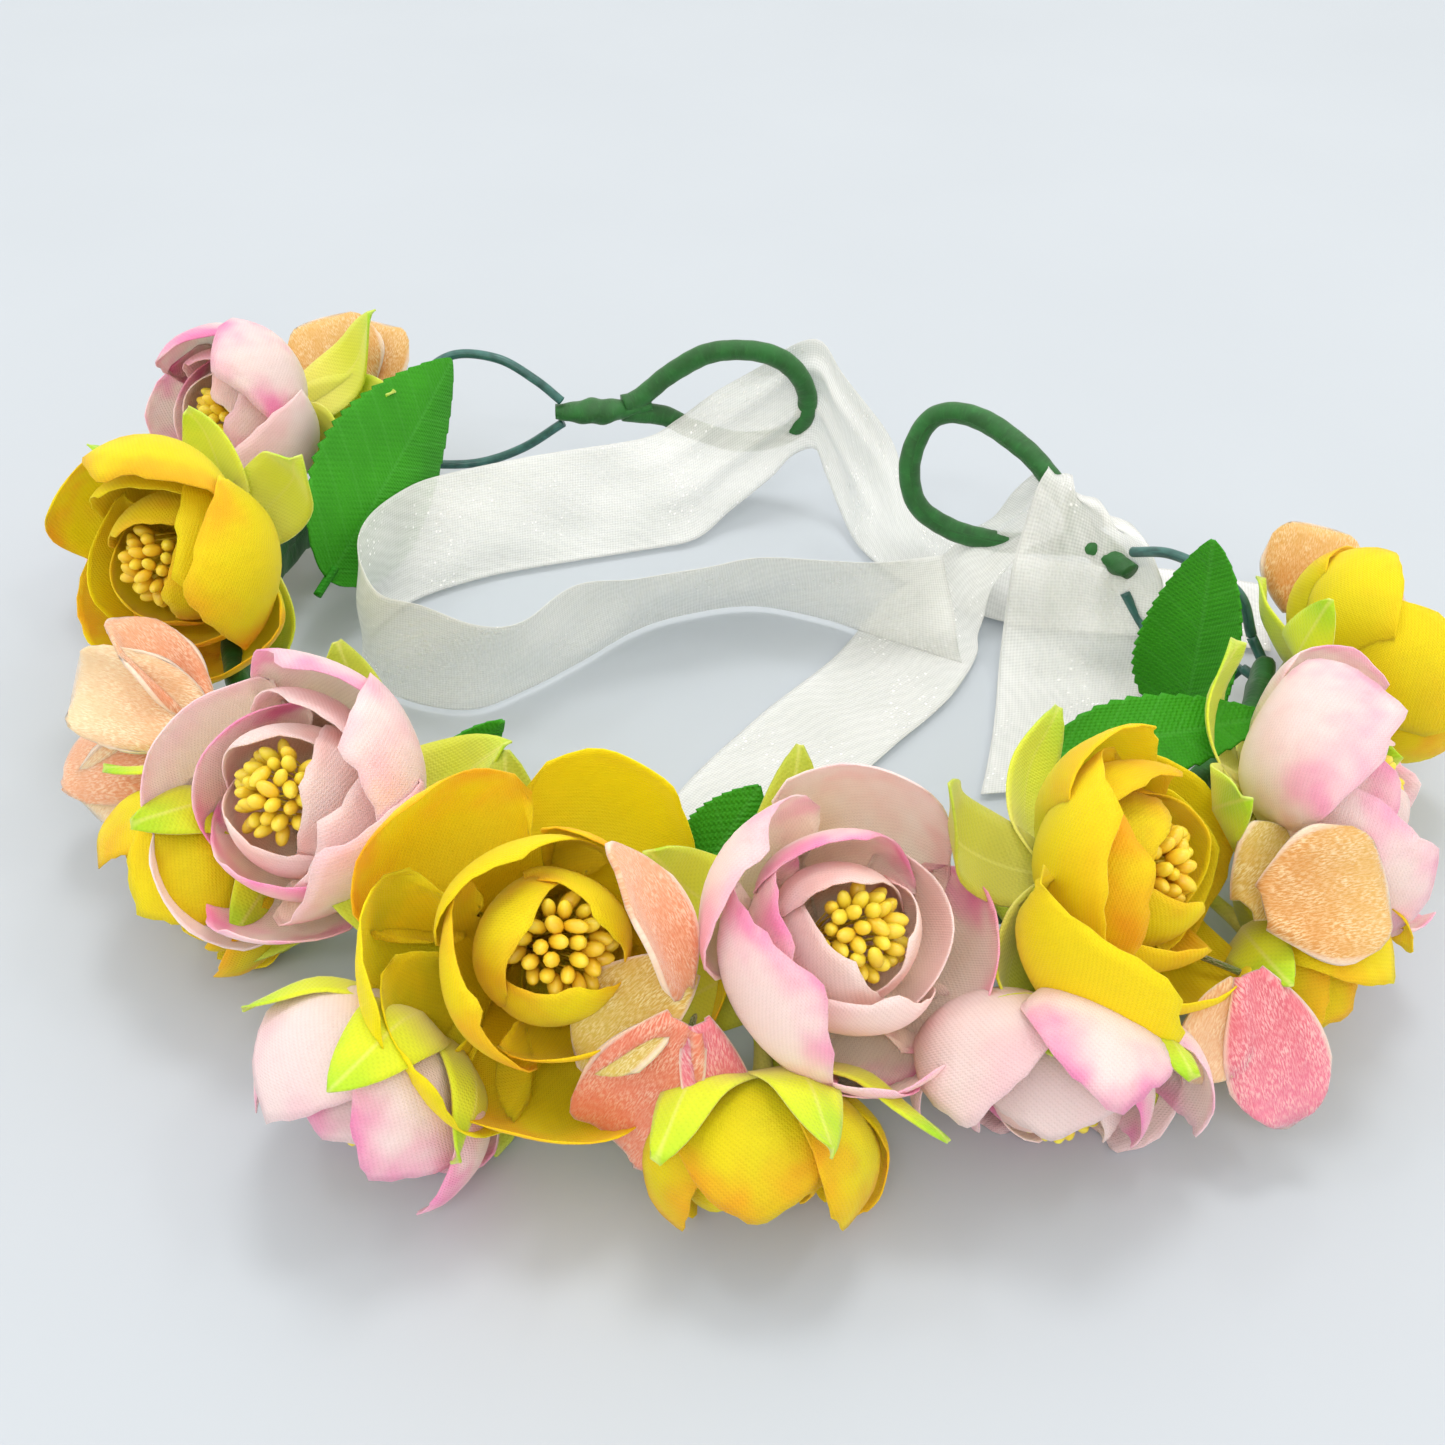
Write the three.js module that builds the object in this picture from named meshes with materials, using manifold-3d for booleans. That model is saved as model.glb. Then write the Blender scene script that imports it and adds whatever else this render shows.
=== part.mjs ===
// Flower crown: a taped wire band that carries fabric ranunculus blooms and velvet blossoms.
// Each end of the band runs out in two thin wires, twisted into a taped eyelet, and a sheer ribbon is
// threaded through each eyelet. The two ends bend at the wires' roots, where the crown is fitted.
//
// Frame: millimetres, +Z up, -Y towards the forehead. The crown stands on its blooms, as on a table,
// and its origin is the middle of its footprint.

import * as THREE from "three";
import { mergeVertices } from "three/addons/utils/BufferGeometryUtils.js";
import Module from "manifold-3d";

// ---------------------------------------------------------------- driving dimensions

const BAND_RX = 99; // half width of the band's centre line
const BAND_RY = 84; // half depth of the band's centre line
const BAND_Y = 8; // centre of the band's ellipse
const BAND_FROM = 142; // where the left end lies on the ellipse, degrees
const BAND_TO = 344; // where the right end lies
const BAND_STEPS = 45; // an odd count, so that one flat facet faces the middle of the forehead
const BAND_THICKNESS = 4.5;
const BAND_HEIGHT = 12;
const BAND_BOTTOM = 11;

const GAP = 0.35; // clearance between touching pieces
const WIRE_RADIUS = 1;
const EYELET_RADIUS = 2.3;
const NECK_RADIUS = 1.25 * EYELET_RADIUS;
const STEM_RADIUS = 1.1;
const CLOTH = 1.2; // thickness given to a sheet of fabric
const LEAF_THICKNESS = 1;
const RIBBON_WIDTH = 25;
const RIBBON_STANDING = 18; // height of a ribbon that leans on its edge
const LEFT_TURN_HEIGHT = 16; // how much of the left eyelet its ribbon covers

// ---------------------------------------------------------------- colours

const PINK = { color: 0xf2bcd0, roughness: 0.75 };
const YELLOW = { color: 0xf3bd12, roughness: 0.75 };
const STAMEN = { color: 0xd3a512, roughness: 0.35 };
const LIME = { color: 0xb9c92a, roughness: 0.8 };
const LEAF_GREEN = { color: 0x1f7f22, roughness: 0.8 };
const PEACH = { color: 0xf0b489, roughness: 0.95 };
const TAPE_GREEN = { color: 0x1c6b2c, roughness: 0.85 };
const WIRE_GREEN = { color: 0x2b5c56, roughness: 0.4 };
const ORGANZA = { color: 0xe9eee8, roughness: 0.5 };

// ---------------------------------------------------------------- design tables

// Each bloom: petal colour, radius, centre, and the way it faces as [azimuth, elevation] in degrees.
const BLOOMS = [
  { name: "left_back_pink", petals: PINK, radius: 17, at: [-107, 50, 34], facing: [226, 22] },
  { name: "left_yellow", petals: YELLOW, radius: 18, at: [-103, -11, 41], facing: [239, 12] },
  { name: "left_front_pink", petals: PINK, radius: 18, at: [-71, -66, 37], facing: [236, 50] },
  { name: "front_left_yellow", petals: YELLOW, radius: 18, at: [-28, -95, 36], facing: [303, 45] },
  { name: "front_pink", petals: PINK, radius: 18, at: [13, -93, 36], facing: [312, 48] },
  { name: "front_right_yellow", petals: YELLOW, radius: 18, at: [55.5, -81, 37.5], facing: [340, 34] },
  { name: "right_pink", petals: PINK, radius: 18, at: [94, -60, 31], facing: [350, 24] },
  { name: "right_back_yellow", petals: YELLOW, radius: 15, at: [113, -21, 28], facing: [20, 20] },
  { name: "low_left_back_pink", petals: PINK, radius: 13, at: [-126, 32, 13], facing: [187, -24] },
  { name: "low_left_yellow", petals: YELLOW, radius: 14, at: [-91, -63, 14], facing: [221, -18] },
  { name: "low_front_left_pink", petals: PINK, radius: 15, at: [-55, -105, 15], facing: [232, -24] },
  { name: "low_front_yellow", petals: YELLOW, radius: 14, at: [-1, -110, 14], facing: [270, -32] },
  { name: "low_front_right_pink", petals: PINK, radius: 15, at: [43, -104, 15], facing: [262, -28] },
  { name: "low_right_yellow", petals: YELLOW, radius: 13, at: [85, -83, 13], facing: [315, -21] },
];

// Velvet blossoms tucked between the blooms: radius, centre, facing and turn about the facing.
const BLOSSOMS = [
  { name: "left_velvet_blossom", radius: 15, at: [-103, -36, 30], facing: [205, 30], turn: 20 },
  { name: "front_velvet_blossom", radius: 10, at: [-11, -109, 34], facing: [265, 20], turn: 45 },
  { name: "right_velvet_blossom", radius: 12, at: [79, -84, 33], facing: [315, 50], turn: 10 },
  { name: "left_end_velvet_blossom", radius: 14, at: [-90, 76, 36], facing: [120, 45], turn: 0 },
  { name: "right_end_velvet_blossom", radius: 15, at: [114, 9, 26], facing: [60, 30], turn: 30 },
];

// Serrated leaves: length, width, middle, the way the tip points and the way the face looks.
const LEAVES = [
  {
    name: "left_end_leaf",
    length: 52,
    width: 36,
    at: [-74, 39, 26],
    tip: [0.43, 0.8, 0.42],
    face: [0.75, -0.6, 0.3],
  },
  {
    name: "right_end_leaf",
    length: 38,
    width: 19,
    at: [81, -19, 29],
    tip: [0.05, 0.2, 0.95],
    face: [-0.75, -0.6, 0.1],
  },
];

// Centre lines of the wires and eyelets of the two ends, from the band outwards.
const LEFT_UPPER_WIRE = [
  [-75, 61, 25], [-71, 67, 33], [-64, 70.5, 37], [-54, 69, 37], [-46, 67, 33], [-40.5, 66.5, 28],
];
const LEFT_LOWER_WIRE = [
  [-75, 61, 17], [-70, 64.5, 13], [-60, 66, 12.5], [-50, 66.5, 16], [-40.5, 66.5, 22.5],
];
const LEFT_NECK = [[-39.5, 66.5, 25.2], [-30, 67.5, 25], [-21, 70, 25]];
const LEFT_LOOP = [
  [-24, 69.5, 26.5], [-17, 71.5, 31.5], [-9, 71.5, 36.5], [0, 70, 38.5], [9, 70, 35.5], [14, 70, 27],
  [11, 70.5, 18], [0, 71.5, 14.5], [-11, 71.5, 17.5], [-18, 71, 21.5], [-24, 69.5, 23.5],
];
const RIGHT_UPPER_WIRE = [
  [92.5, -12, 25], [89, -11, 33], [84, -7, 35.5], [78, -0.5, 35], [73.5, 7, 30],
];
const RIGHT_LOWER_WIRE = [
  [92.5, -12, 17], [88, -11, 11.5], [82, -3, 10.5], [77.5, 5, 14.5], [74, 8, 19.5],
];
const RIGHT_NECK = [[73.4, 9, 24.8], [69, 16, 25], [65, 22, 25]];
const RIGHT_LOOP = [
  [67, 19, 26.5], [62.5, 25.5, 31.5], [55, 33.5, 37], [45.5, 43, 38.5], [38, 46.5, 35], [34.5, 44, 26],
  [36.5, 41, 18], [43.5, 38.5, 13.5], [53, 33, 14], [61.5, 26, 18.5], [67, 19, 23.5],
];

// Centre lines of the ribbons where they lie, and of the turns that wrap the eyelets.
const LEFT_TAIL = [
  [22, 56], [2, 58], [-22, 57], [-41, 52], [-58, 43], [-70, 31], [-75, 14], [-69, 2],
  [-56, 0], [-42, 5], [-30, 15], [-14, 27], [3, 31], [22, 28], [38, 20],
];
const RIGHT_TAIL = [
  [114, 24], [95, 22], [76, 12], [60, -2], [45, -9], [25, -16], [8, -27], [-4, -39],
];
const LEFT_TURN = [[2, 65.4], [15, 65.4], [19, 70], [15, 74.8], [2, 75.4]];

// ---------------------------------------------------------------- solids

const wasm = await Module();
wasm.setup();

// A closed geometry as a solid that can be joined or cut.
function toSolid(geometry) {
  const bare = geometry.clone();
  bare.deleteAttribute("normal");
  bare.deleteAttribute("uv");
  const merged = mergeVertices(bare, 1e-3);
  return new wasm.Manifold(
    new wasm.Mesh({
      numProp: 3,
      vertProperties: merged.getAttribute("position").array,
      triVerts: new Uint32Array(merged.index.array),
    }),
  );
}

function toGeometry(solid) {
  const mesh = solid.getMesh();
  const geometry = new THREE.BufferGeometry();
  geometry.setAttribute("position", new THREE.BufferAttribute(mesh.vertProperties, 3));
  geometry.setIndex(new THREE.BufferAttribute(mesh.triVerts, 1));
  geometry.computeVertexNormals();
  return geometry;
}

const join = (...geometries) => toGeometry(geometries.map(toSolid).reduce((a, b) => a.add(b)));

const rad = THREE.MathUtils.degToRad;
const vector = ([x, y, z = 0]) => new THREE.Vector3(x, y, z);

function direction([azimuth, elevation]) {
  const level = Math.cos(rad(elevation));
  return new THREE.Vector3(
    level * Math.cos(rad(azimuth)),
    level * Math.sin(rad(azimuth)),
    Math.sin(rad(elevation)),
  );
}

function polygon(sides, radius) {
  return new THREE.Shape(
    Array.from({ length: sides }, (_, i) => {
      const angle = (i / sides) * 2 * Math.PI;
      return new THREE.Vector2(radius * Math.cos(angle), radius * Math.sin(angle));
    }),
  );
}

// A round bar along a smooth curve through the points.
function bar(points, radius, sides, steps) {
  return new THREE.ExtrudeGeometry(polygon(sides, radius), {
    steps,
    bevelEnabled: false,
    extrudePath: new THREE.CatmullRomCurve3(points.map(vector)),
  });
}

// A wall of even thickness that follows a curve in plan, or a flat strip when it is wide and low.
function wall(points, steps, width, height) {
  const curve = new THREE.CatmullRomCurve3(points.map(vector));
  const sides = [[], []];
  for (let i = 0; i <= steps; i++) {
    const point = curve.getPoint(i / steps);
    const along = curve.getTangent(i / steps);
    sides[0].push(new THREE.Vector2(point.x - (along.y * width) / 2, point.y + (along.x * width) / 2));
    sides[1].unshift(new THREE.Vector2(point.x + (along.y * width) / 2, point.y - (along.x * width) / 2));
  }
  return new THREE.ExtrudeGeometry(new THREE.Shape([...sides[0], ...sides[1]]), {
    depth: height,
    bevelEnabled: false,
  });
}

// A lathe geometry about +Z, from a profile of [radius, height] points.
function turned(profile, segments) {
  const points = profile.map(([radius, height]) => new THREE.Vector2(radius, height));
  return new THREE.LatheGeometry(points, segments).rotateX(Math.PI / 2);
}

function piece(name, geometry, look) {
  const material = new THREE.MeshStandardMaterial({ ...look, metalness: 0 });
  const mesh = new THREE.Mesh(geometry, material);
  mesh.name = name;
  return mesh;
}

// ---------------------------------------------------------------- band

const onEllipse = (angle, rx, ry) => new THREE.Vector2(rx * Math.cos(angle), BAND_Y + ry * Math.sin(angle));

function band() {
  const half = BAND_THICKNESS / 2;
  const outer = [];
  const inner = [];
  for (let i = 0; i <= BAND_STEPS; i++) {
    const angle = rad(BAND_FROM + ((BAND_TO - BAND_FROM) * i) / BAND_STEPS);
    outer.push(onEllipse(angle, BAND_RX + half, BAND_RY + half));
    inner.unshift(onEllipse(angle, BAND_RX - half, BAND_RY - half));
  }
  const geometry = new THREE.ExtrudeGeometry(new THREE.Shape([...outer, ...inner]), {
    depth: BAND_HEIGHT,
    bevelEnabled: false,
  });
  return piece("taped_band", geometry.translate(0, 0, BAND_BOTTOM), TAPE_GREEN);
}

const RIGHT_ABOVE = 7.4; // a point nearer than this to the centre line counts as above the band
const STEM_INSET = 3; // stems join the band's sides this far from its edges

// Where a stem from a point meets the band: the face on the point's side, or the top if it is above.
function bandAnchor(from) {
  const reach = BAND_THICKNESS / 2 + STEM_RADIUS + GAP;
  let nearest = null;
  for (let degrees = BAND_FROM; degrees <= BAND_TO; degrees++) {
    const spot = onEllipse(rad(degrees), BAND_RX, BAND_RY);
    const away = Math.hypot(spot.x - from.x, spot.y - from.y);
    if (!nearest || away < nearest.away) {
      nearest = { spot, away, angle: rad(degrees) };
    }
  }
  const top = BAND_BOTTOM + BAND_HEIGHT;
  if (nearest.away < RIGHT_ABOVE && from.z > top) {
    return new THREE.Vector3(nearest.spot.x, nearest.spot.y, top + GAP + STEM_RADIUS);
  }
  const side = Math.hypot(from.x / BAND_RX, (from.y - BAND_Y) / BAND_RY) < 1 ? -reach : reach;
  const foot = onEllipse(nearest.angle, BAND_RX + side, BAND_RY + side);
  const height = THREE.MathUtils.clamp(from.z, BAND_BOTTOM + STEM_INSET, top - STEM_INSET);
  return new THREE.Vector3(foot.x, foot.y, height);
}

const SHORTEST_STEM = 2;
const STEM_SIDES = 6;

// A piece's geometry with a straight stem from a foot, given in its group's frame, to the band.
function withStem(geometry, group, foot) {
  group.updateMatrixWorld(true);
  const end = group.worldToLocal(bandAnchor(group.localToWorld(foot.clone())));
  if (foot.distanceTo(end) < SHORTEST_STEM) return geometry;
  const stem = new THREE.ExtrudeGeometry(polygon(STEM_SIDES, STEM_RADIUS), {
    steps: 1,
    bevelEnabled: false,
    extrudePath: new THREE.LineCurve3(foot, end),
  });
  return join(geometry, stem);
}

// An empty group at a point, whose +Z looks along [azimuth, elevation].
function facingGroup(at, facing) {
  const group = new THREE.Group();
  group.position.set(...at);
  group.quaternion.setFromUnitVectors(new THREE.Vector3(0, 0, 1), direction(facing));
  return group;
}

// ---------------------------------------------------------------- blooms

const BLOOM_BASE = -0.8; // underside of the petals, as a share of the bloom's radius
const SEPAL_REACH = 0.8;
const SEPAL_VALLEY = 0.34;
const SEPAL_LIFT = 0.45;

// The cup that the nested layers of petals fill, open where the stamens show.
function petalCup(r) {
  const profile = [
    [0, BLOOM_BASE], [0.32, BLOOM_BASE], [0.62, -0.62], [0.88, -0.28], [1, 0.08], [0.94, 0.38], [0.8, 0.55],
    [0.68, 0.52], [0.6, 0.32], [0.58, 0.06], [0.5, -0.2], [0.3, -0.5], [0.18, -0.68], [0, -0.68],
  ];
  return turned(profile.map(([x, y]) => [x * r, y * r]), 12);
}

function stamenBundle(r) {
  const profile = [
    [0, -0.64], [0.12, -0.64], [0.16, -0.16], [0.42, 0], [0.46, 0.14], [0.36, 0.3], [0.18, 0.38], [0, 0.4],
  ];
  return turned(profile.map(([x, y]) => [x * r, y * r]), 10);
}

// Five pointed sepals that cup the petals from below.
function calyx(r) {
  const tips = 5;
  const outline = Array.from({ length: 2 * tips }, (_, i) => {
    const angle = (i / (2 * tips)) * 2 * Math.PI;
    const reach = r * (i % 2 ? SEPAL_VALLEY : SEPAL_REACH);
    return new THREE.Vector2(reach * Math.cos(angle), reach * Math.sin(angle));
  });
  const star = new THREE.ExtrudeGeometry(new THREE.Shape(outline), {
    depth: CLOTH,
    bevelEnabled: false,
  });
  const corners = star.getAttribute("position");
  for (let i = 0; i < corners.count; i++) {
    const out = Math.hypot(corners.getX(i), corners.getY(i)) - SEPAL_VALLEY * r;
    corners.setZ(i, corners.getZ(i) + SEPAL_LIFT * Math.max(0, out));
  }
  star.translate(0, 0, BLOOM_BASE * r - GAP - CLOTH);
  return star;
}

function bloom({ name, petals, radius, at, facing }) {
  const group = facingGroup(at, facing);
  const foot = new THREE.Vector3(0, 0, BLOOM_BASE * radius - GAP - CLOTH);
  group.add(
    piece(name + "_petals", petalCup(radius), petals),
    piece(name + "_stamens", stamenBundle(radius), STAMEN),
    piece(name + "_calyx", withStem(calyx(radius), group, foot), LIME),
  );
  return group;
}

// ---------------------------------------------------------------- velvet blossoms and leaves

const BLOSSOM_PETALS = 4;
const LEAF_STALK = 4; // how far in from the leaf's end its stem starts

function blossom({ name, radius, at, facing, turn }) {
  const points = 32;
  const outline = Array.from({ length: points }, (_, i) => {
    const angle = (i / points) * 2 * Math.PI;
    const reach = radius * (0.76 + 0.24 * Math.cos(BLOSSOM_PETALS * angle));
    return new THREE.Vector2(reach * Math.cos(angle), reach * Math.sin(angle));
  });
  const geometry = new THREE.ExtrudeGeometry(new THREE.Shape(outline), {
    depth: CLOTH,
    bevelEnabled: false,
  });
  const group = facingGroup(at, facing);
  group.add(piece(name, withStem(geometry.rotateZ(rad(turn)), group, new THREE.Vector3()), PEACH));
  return group;
}

function leaf({ name, length, width, at, tip, face }) {
  const half = length / 2;
  const outline = new THREE.Shape();
  outline.moveTo(-half, 0);
  outline.bezierCurveTo(-0.6 * half, 0.7 * width, 0.5 * half, 0.6 * width, half, 0);
  outline.bezierCurveTo(0.5 * half, -0.6 * width, -0.6 * half, -0.7 * width, -half, 0);
  const geometry = new THREE.ExtrudeGeometry(outline, {
    depth: LEAF_THICKNESS,
    bevelEnabled: false,
    curveSegments: 8,
  });
  const normal = vector(face).normalize();
  const side = new THREE.Vector3().crossVectors(normal, vector(tip)).normalize();
  const along = new THREE.Vector3().crossVectors(side, normal);
  const group = new THREE.Group();
  group.quaternion.setFromRotationMatrix(new THREE.Matrix4().makeBasis(along, side, normal));
  group.position.set(...at);
  const foot = new THREE.Vector3(-half + LEAF_STALK, 0, LEAF_THICKNESS / 2);
  group.add(piece(name, withStem(geometry, group, foot), LEAF_GREEN));
  return group;
}

// ---------------------------------------------------------------- wires and eyelets of an end

const BAR_SIDES = 8;
const WIRE_STEPS = 14;
const NECK_STEPS = 6;
const LOOP_STEPS = 36;

function wires(side, upper, lower) {
  return [
    piece(side + "_upper_wire", bar(upper, WIRE_RADIUS, BAR_SIDES, WIRE_STEPS), WIRE_GREEN),
    piece(side + "_lower_wire", bar(lower, WIRE_RADIUS, BAR_SIDES, WIRE_STEPS), WIRE_GREEN),
  ];
}

// The wires' twisted neck and the loop beyond it, taped over as one piece.
function eyelet(side, neck, loop) {
  const taped = join(
    bar(neck, NECK_RADIUS, BAR_SIDES, NECK_STEPS),
    bar(loop, EYELET_RADIUS, BAR_SIDES, LOOP_STEPS),
  );
  return piece(side + "_eyelet", taped, TAPE_GREEN);
}

// ---------------------------------------------------------------- ribbons

// The right ribbon hangs over the upper side of its eyelet like a saddle.
const SADDLE_AT = [57, 32];
const SADDLE_HEADING = 134;
const SADDLE_LENGTH = 18;
const SADDLE_TOP = 42.6;
const SADDLE_LEG = 14; // how far its two sides hang down
const SADDLE_EASE = 1.2; // room between the ribbon and the eyelet's tape

function saddle() {
  const inside = EYELET_RADIUS + SADDLE_EASE;
  const outside = inside + CLOTH;
  const foot = SADDLE_TOP - SADDLE_LEG;
  const under = SADDLE_TOP - CLOTH;
  const corners = [
    [-outside, foot], [-outside, SADDLE_TOP], [outside, SADDLE_TOP], [outside, foot],
    [inside, foot], [inside, under], [-inside, under], [-inside, foot],
  ];
  const outline = new THREE.Shape(corners.map(([x, y]) => new THREE.Vector2(x, y)));
  const geometry = new THREE.ExtrudeGeometry(outline, {
    depth: SADDLE_LENGTH,
    bevelEnabled: false,
  });
  geometry.translate(0, 0, -SADDLE_LENGTH / 2);
  geometry.rotateX(Math.PI / 2);
  geometry.rotateZ(rad(SADDLE_HEADING - 90));
  return geometry.translate(...SADDLE_AT, 0);
}

function ribbons() {
  const turn = wall(LEFT_TURN, 10, CLOTH, LEFT_TURN_HEIGHT).translate(0, 0, RIBBON_STANDING);
  return [
    piece("left_ribbon_turn", turn, ORGANZA),
    piece("left_ribbon_tail", wall(LEFT_TAIL, 44, CLOTH, RIBBON_STANDING), ORGANZA),
    piece("right_ribbon_turn", saddle(), ORGANZA),
    piece("right_ribbon_tail", wall(RIGHT_TAIL, 18, RIBBON_WIDTH, CLOTH), ORGANZA),
  ];
}

// ---------------------------------------------------------------- assembly

const crown = new THREE.Group();
crown.add(
  band(),
  ...BLOOMS.map(bloom),
  ...BLOSSOMS.map(blossom),
  ...LEAVES.map(leaf),
  ...wires("left", LEFT_UPPER_WIRE, LEFT_LOWER_WIRE),
  eyelet("left", LEFT_NECK, LEFT_LOOP),
  ...wires("right", RIGHT_UPPER_WIRE, RIGHT_LOWER_WIRE),
  eyelet("right", RIGHT_NECK, RIGHT_LOOP),
  ...ribbons(),
);

// The origin is the middle of the footprint.
const extent = new THREE.Box3().setFromObject(crown, true);
crown.position.set(
  -(extent.min.x + extent.max.x) / 2,
  -(extent.min.y + extent.max.y) / 2,
  -extent.min.z,
);

export default crown;
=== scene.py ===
import math

import bpy
import numpy as np
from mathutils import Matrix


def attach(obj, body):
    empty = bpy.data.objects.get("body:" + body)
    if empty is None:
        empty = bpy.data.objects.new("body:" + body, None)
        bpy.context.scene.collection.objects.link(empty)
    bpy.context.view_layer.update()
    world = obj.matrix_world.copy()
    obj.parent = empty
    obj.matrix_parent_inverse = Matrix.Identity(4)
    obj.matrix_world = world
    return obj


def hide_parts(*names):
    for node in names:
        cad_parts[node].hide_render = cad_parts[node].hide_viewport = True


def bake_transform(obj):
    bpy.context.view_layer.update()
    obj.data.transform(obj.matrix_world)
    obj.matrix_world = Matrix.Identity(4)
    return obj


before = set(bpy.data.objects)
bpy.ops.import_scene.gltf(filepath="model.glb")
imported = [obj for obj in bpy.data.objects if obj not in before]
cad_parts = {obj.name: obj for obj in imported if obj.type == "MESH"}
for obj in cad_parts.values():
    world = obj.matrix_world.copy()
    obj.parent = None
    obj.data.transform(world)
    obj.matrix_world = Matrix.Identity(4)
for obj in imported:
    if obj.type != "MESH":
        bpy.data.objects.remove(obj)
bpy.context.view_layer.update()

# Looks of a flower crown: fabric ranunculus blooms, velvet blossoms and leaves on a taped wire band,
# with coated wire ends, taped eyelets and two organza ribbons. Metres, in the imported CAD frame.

scene = bpy.context.scene

MM = 0.001
# The band, wires, leaves and ribbons repeat the CAD part's working millimetres, called CAD millimetres
# below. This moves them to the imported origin.
SHIFT = np.array([5.46757, 17.4028, 0.08959])
UP = np.array([0.0, 0.0, 1.0])
SPLINE_STEPS = 24  # points on each stretch of a curve before it is spaced evenly
FLOOR_GAP = 0.3 * MM  # soft cloth is pressed no closer to the table than this
FLOOR_START = 3.0 * MM  # and starts to be pressed below this height


def add_object(name, data):
    obj = bpy.data.objects.new(name, data)
    scene.collection.objects.link(obj)
    return obj


def placed(points):
    return (np.asarray(points, float) + SHIFT) * MM


def unit(v):
    v = np.asarray(v, float)
    return v / np.linalg.norm(v)


def smooth(x, low, high):
    t = np.clip((x - low) / (high - low), 0, 1)
    return t * t * (3 - 2 * t)


def spline(points, count):
    """Points evenly spaced along a Catmull-Rom curve through the given ones."""
    points = np.asarray(points, float)
    ends = [2 * points[0] - points[1], *points, 2 * points[-1] - points[-2]]
    dense = []
    for a, b, c, d in zip(ends, ends[1:], ends[2:], ends[3:]):
        t = np.linspace(0, 1, SPLINE_STEPS, endpoint=False)[:, None]
        t = t.reshape((-1,) + (1,) * np.ndim(a))
        dense.append(0.5 * (2 * b + (c - a) * t + (2 * a - 5 * b + 4 * c - d) * t**2
                            + (3 * b - a - 3 * c + d) * t**3))
    dense = np.concatenate([*dense, [points[-1]]])
    middle = dense.reshape(len(dense), -1, dense.shape[-1]).mean(1)
    run = np.concatenate([[0], np.cumsum(np.linalg.norm(np.diff(middle, axis=0), axis=1))])
    at = np.linspace(0, run[-1], count)
    flat = dense.reshape(len(dense), -1)
    made = np.stack([np.interp(at, run, flat[:, k]) for k in range(flat.shape[1])], 1)
    return made.reshape((count,) + dense.shape[1:]), run[-1]


def curve(points, count):
    """The same, through points in CAD millimetres."""
    return spline(placed(points), count)[0]


# -------- materials


def colour(hex_code):
    def linear(c):
        return c / 12.92 if c <= 0.04045 else ((c + 0.055) / 1.055) ** 2.4

    return (*(linear(int(hex_code[i : i + 2], 16) / 255) for i in (0, 2, 4)), 1.0)


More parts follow.
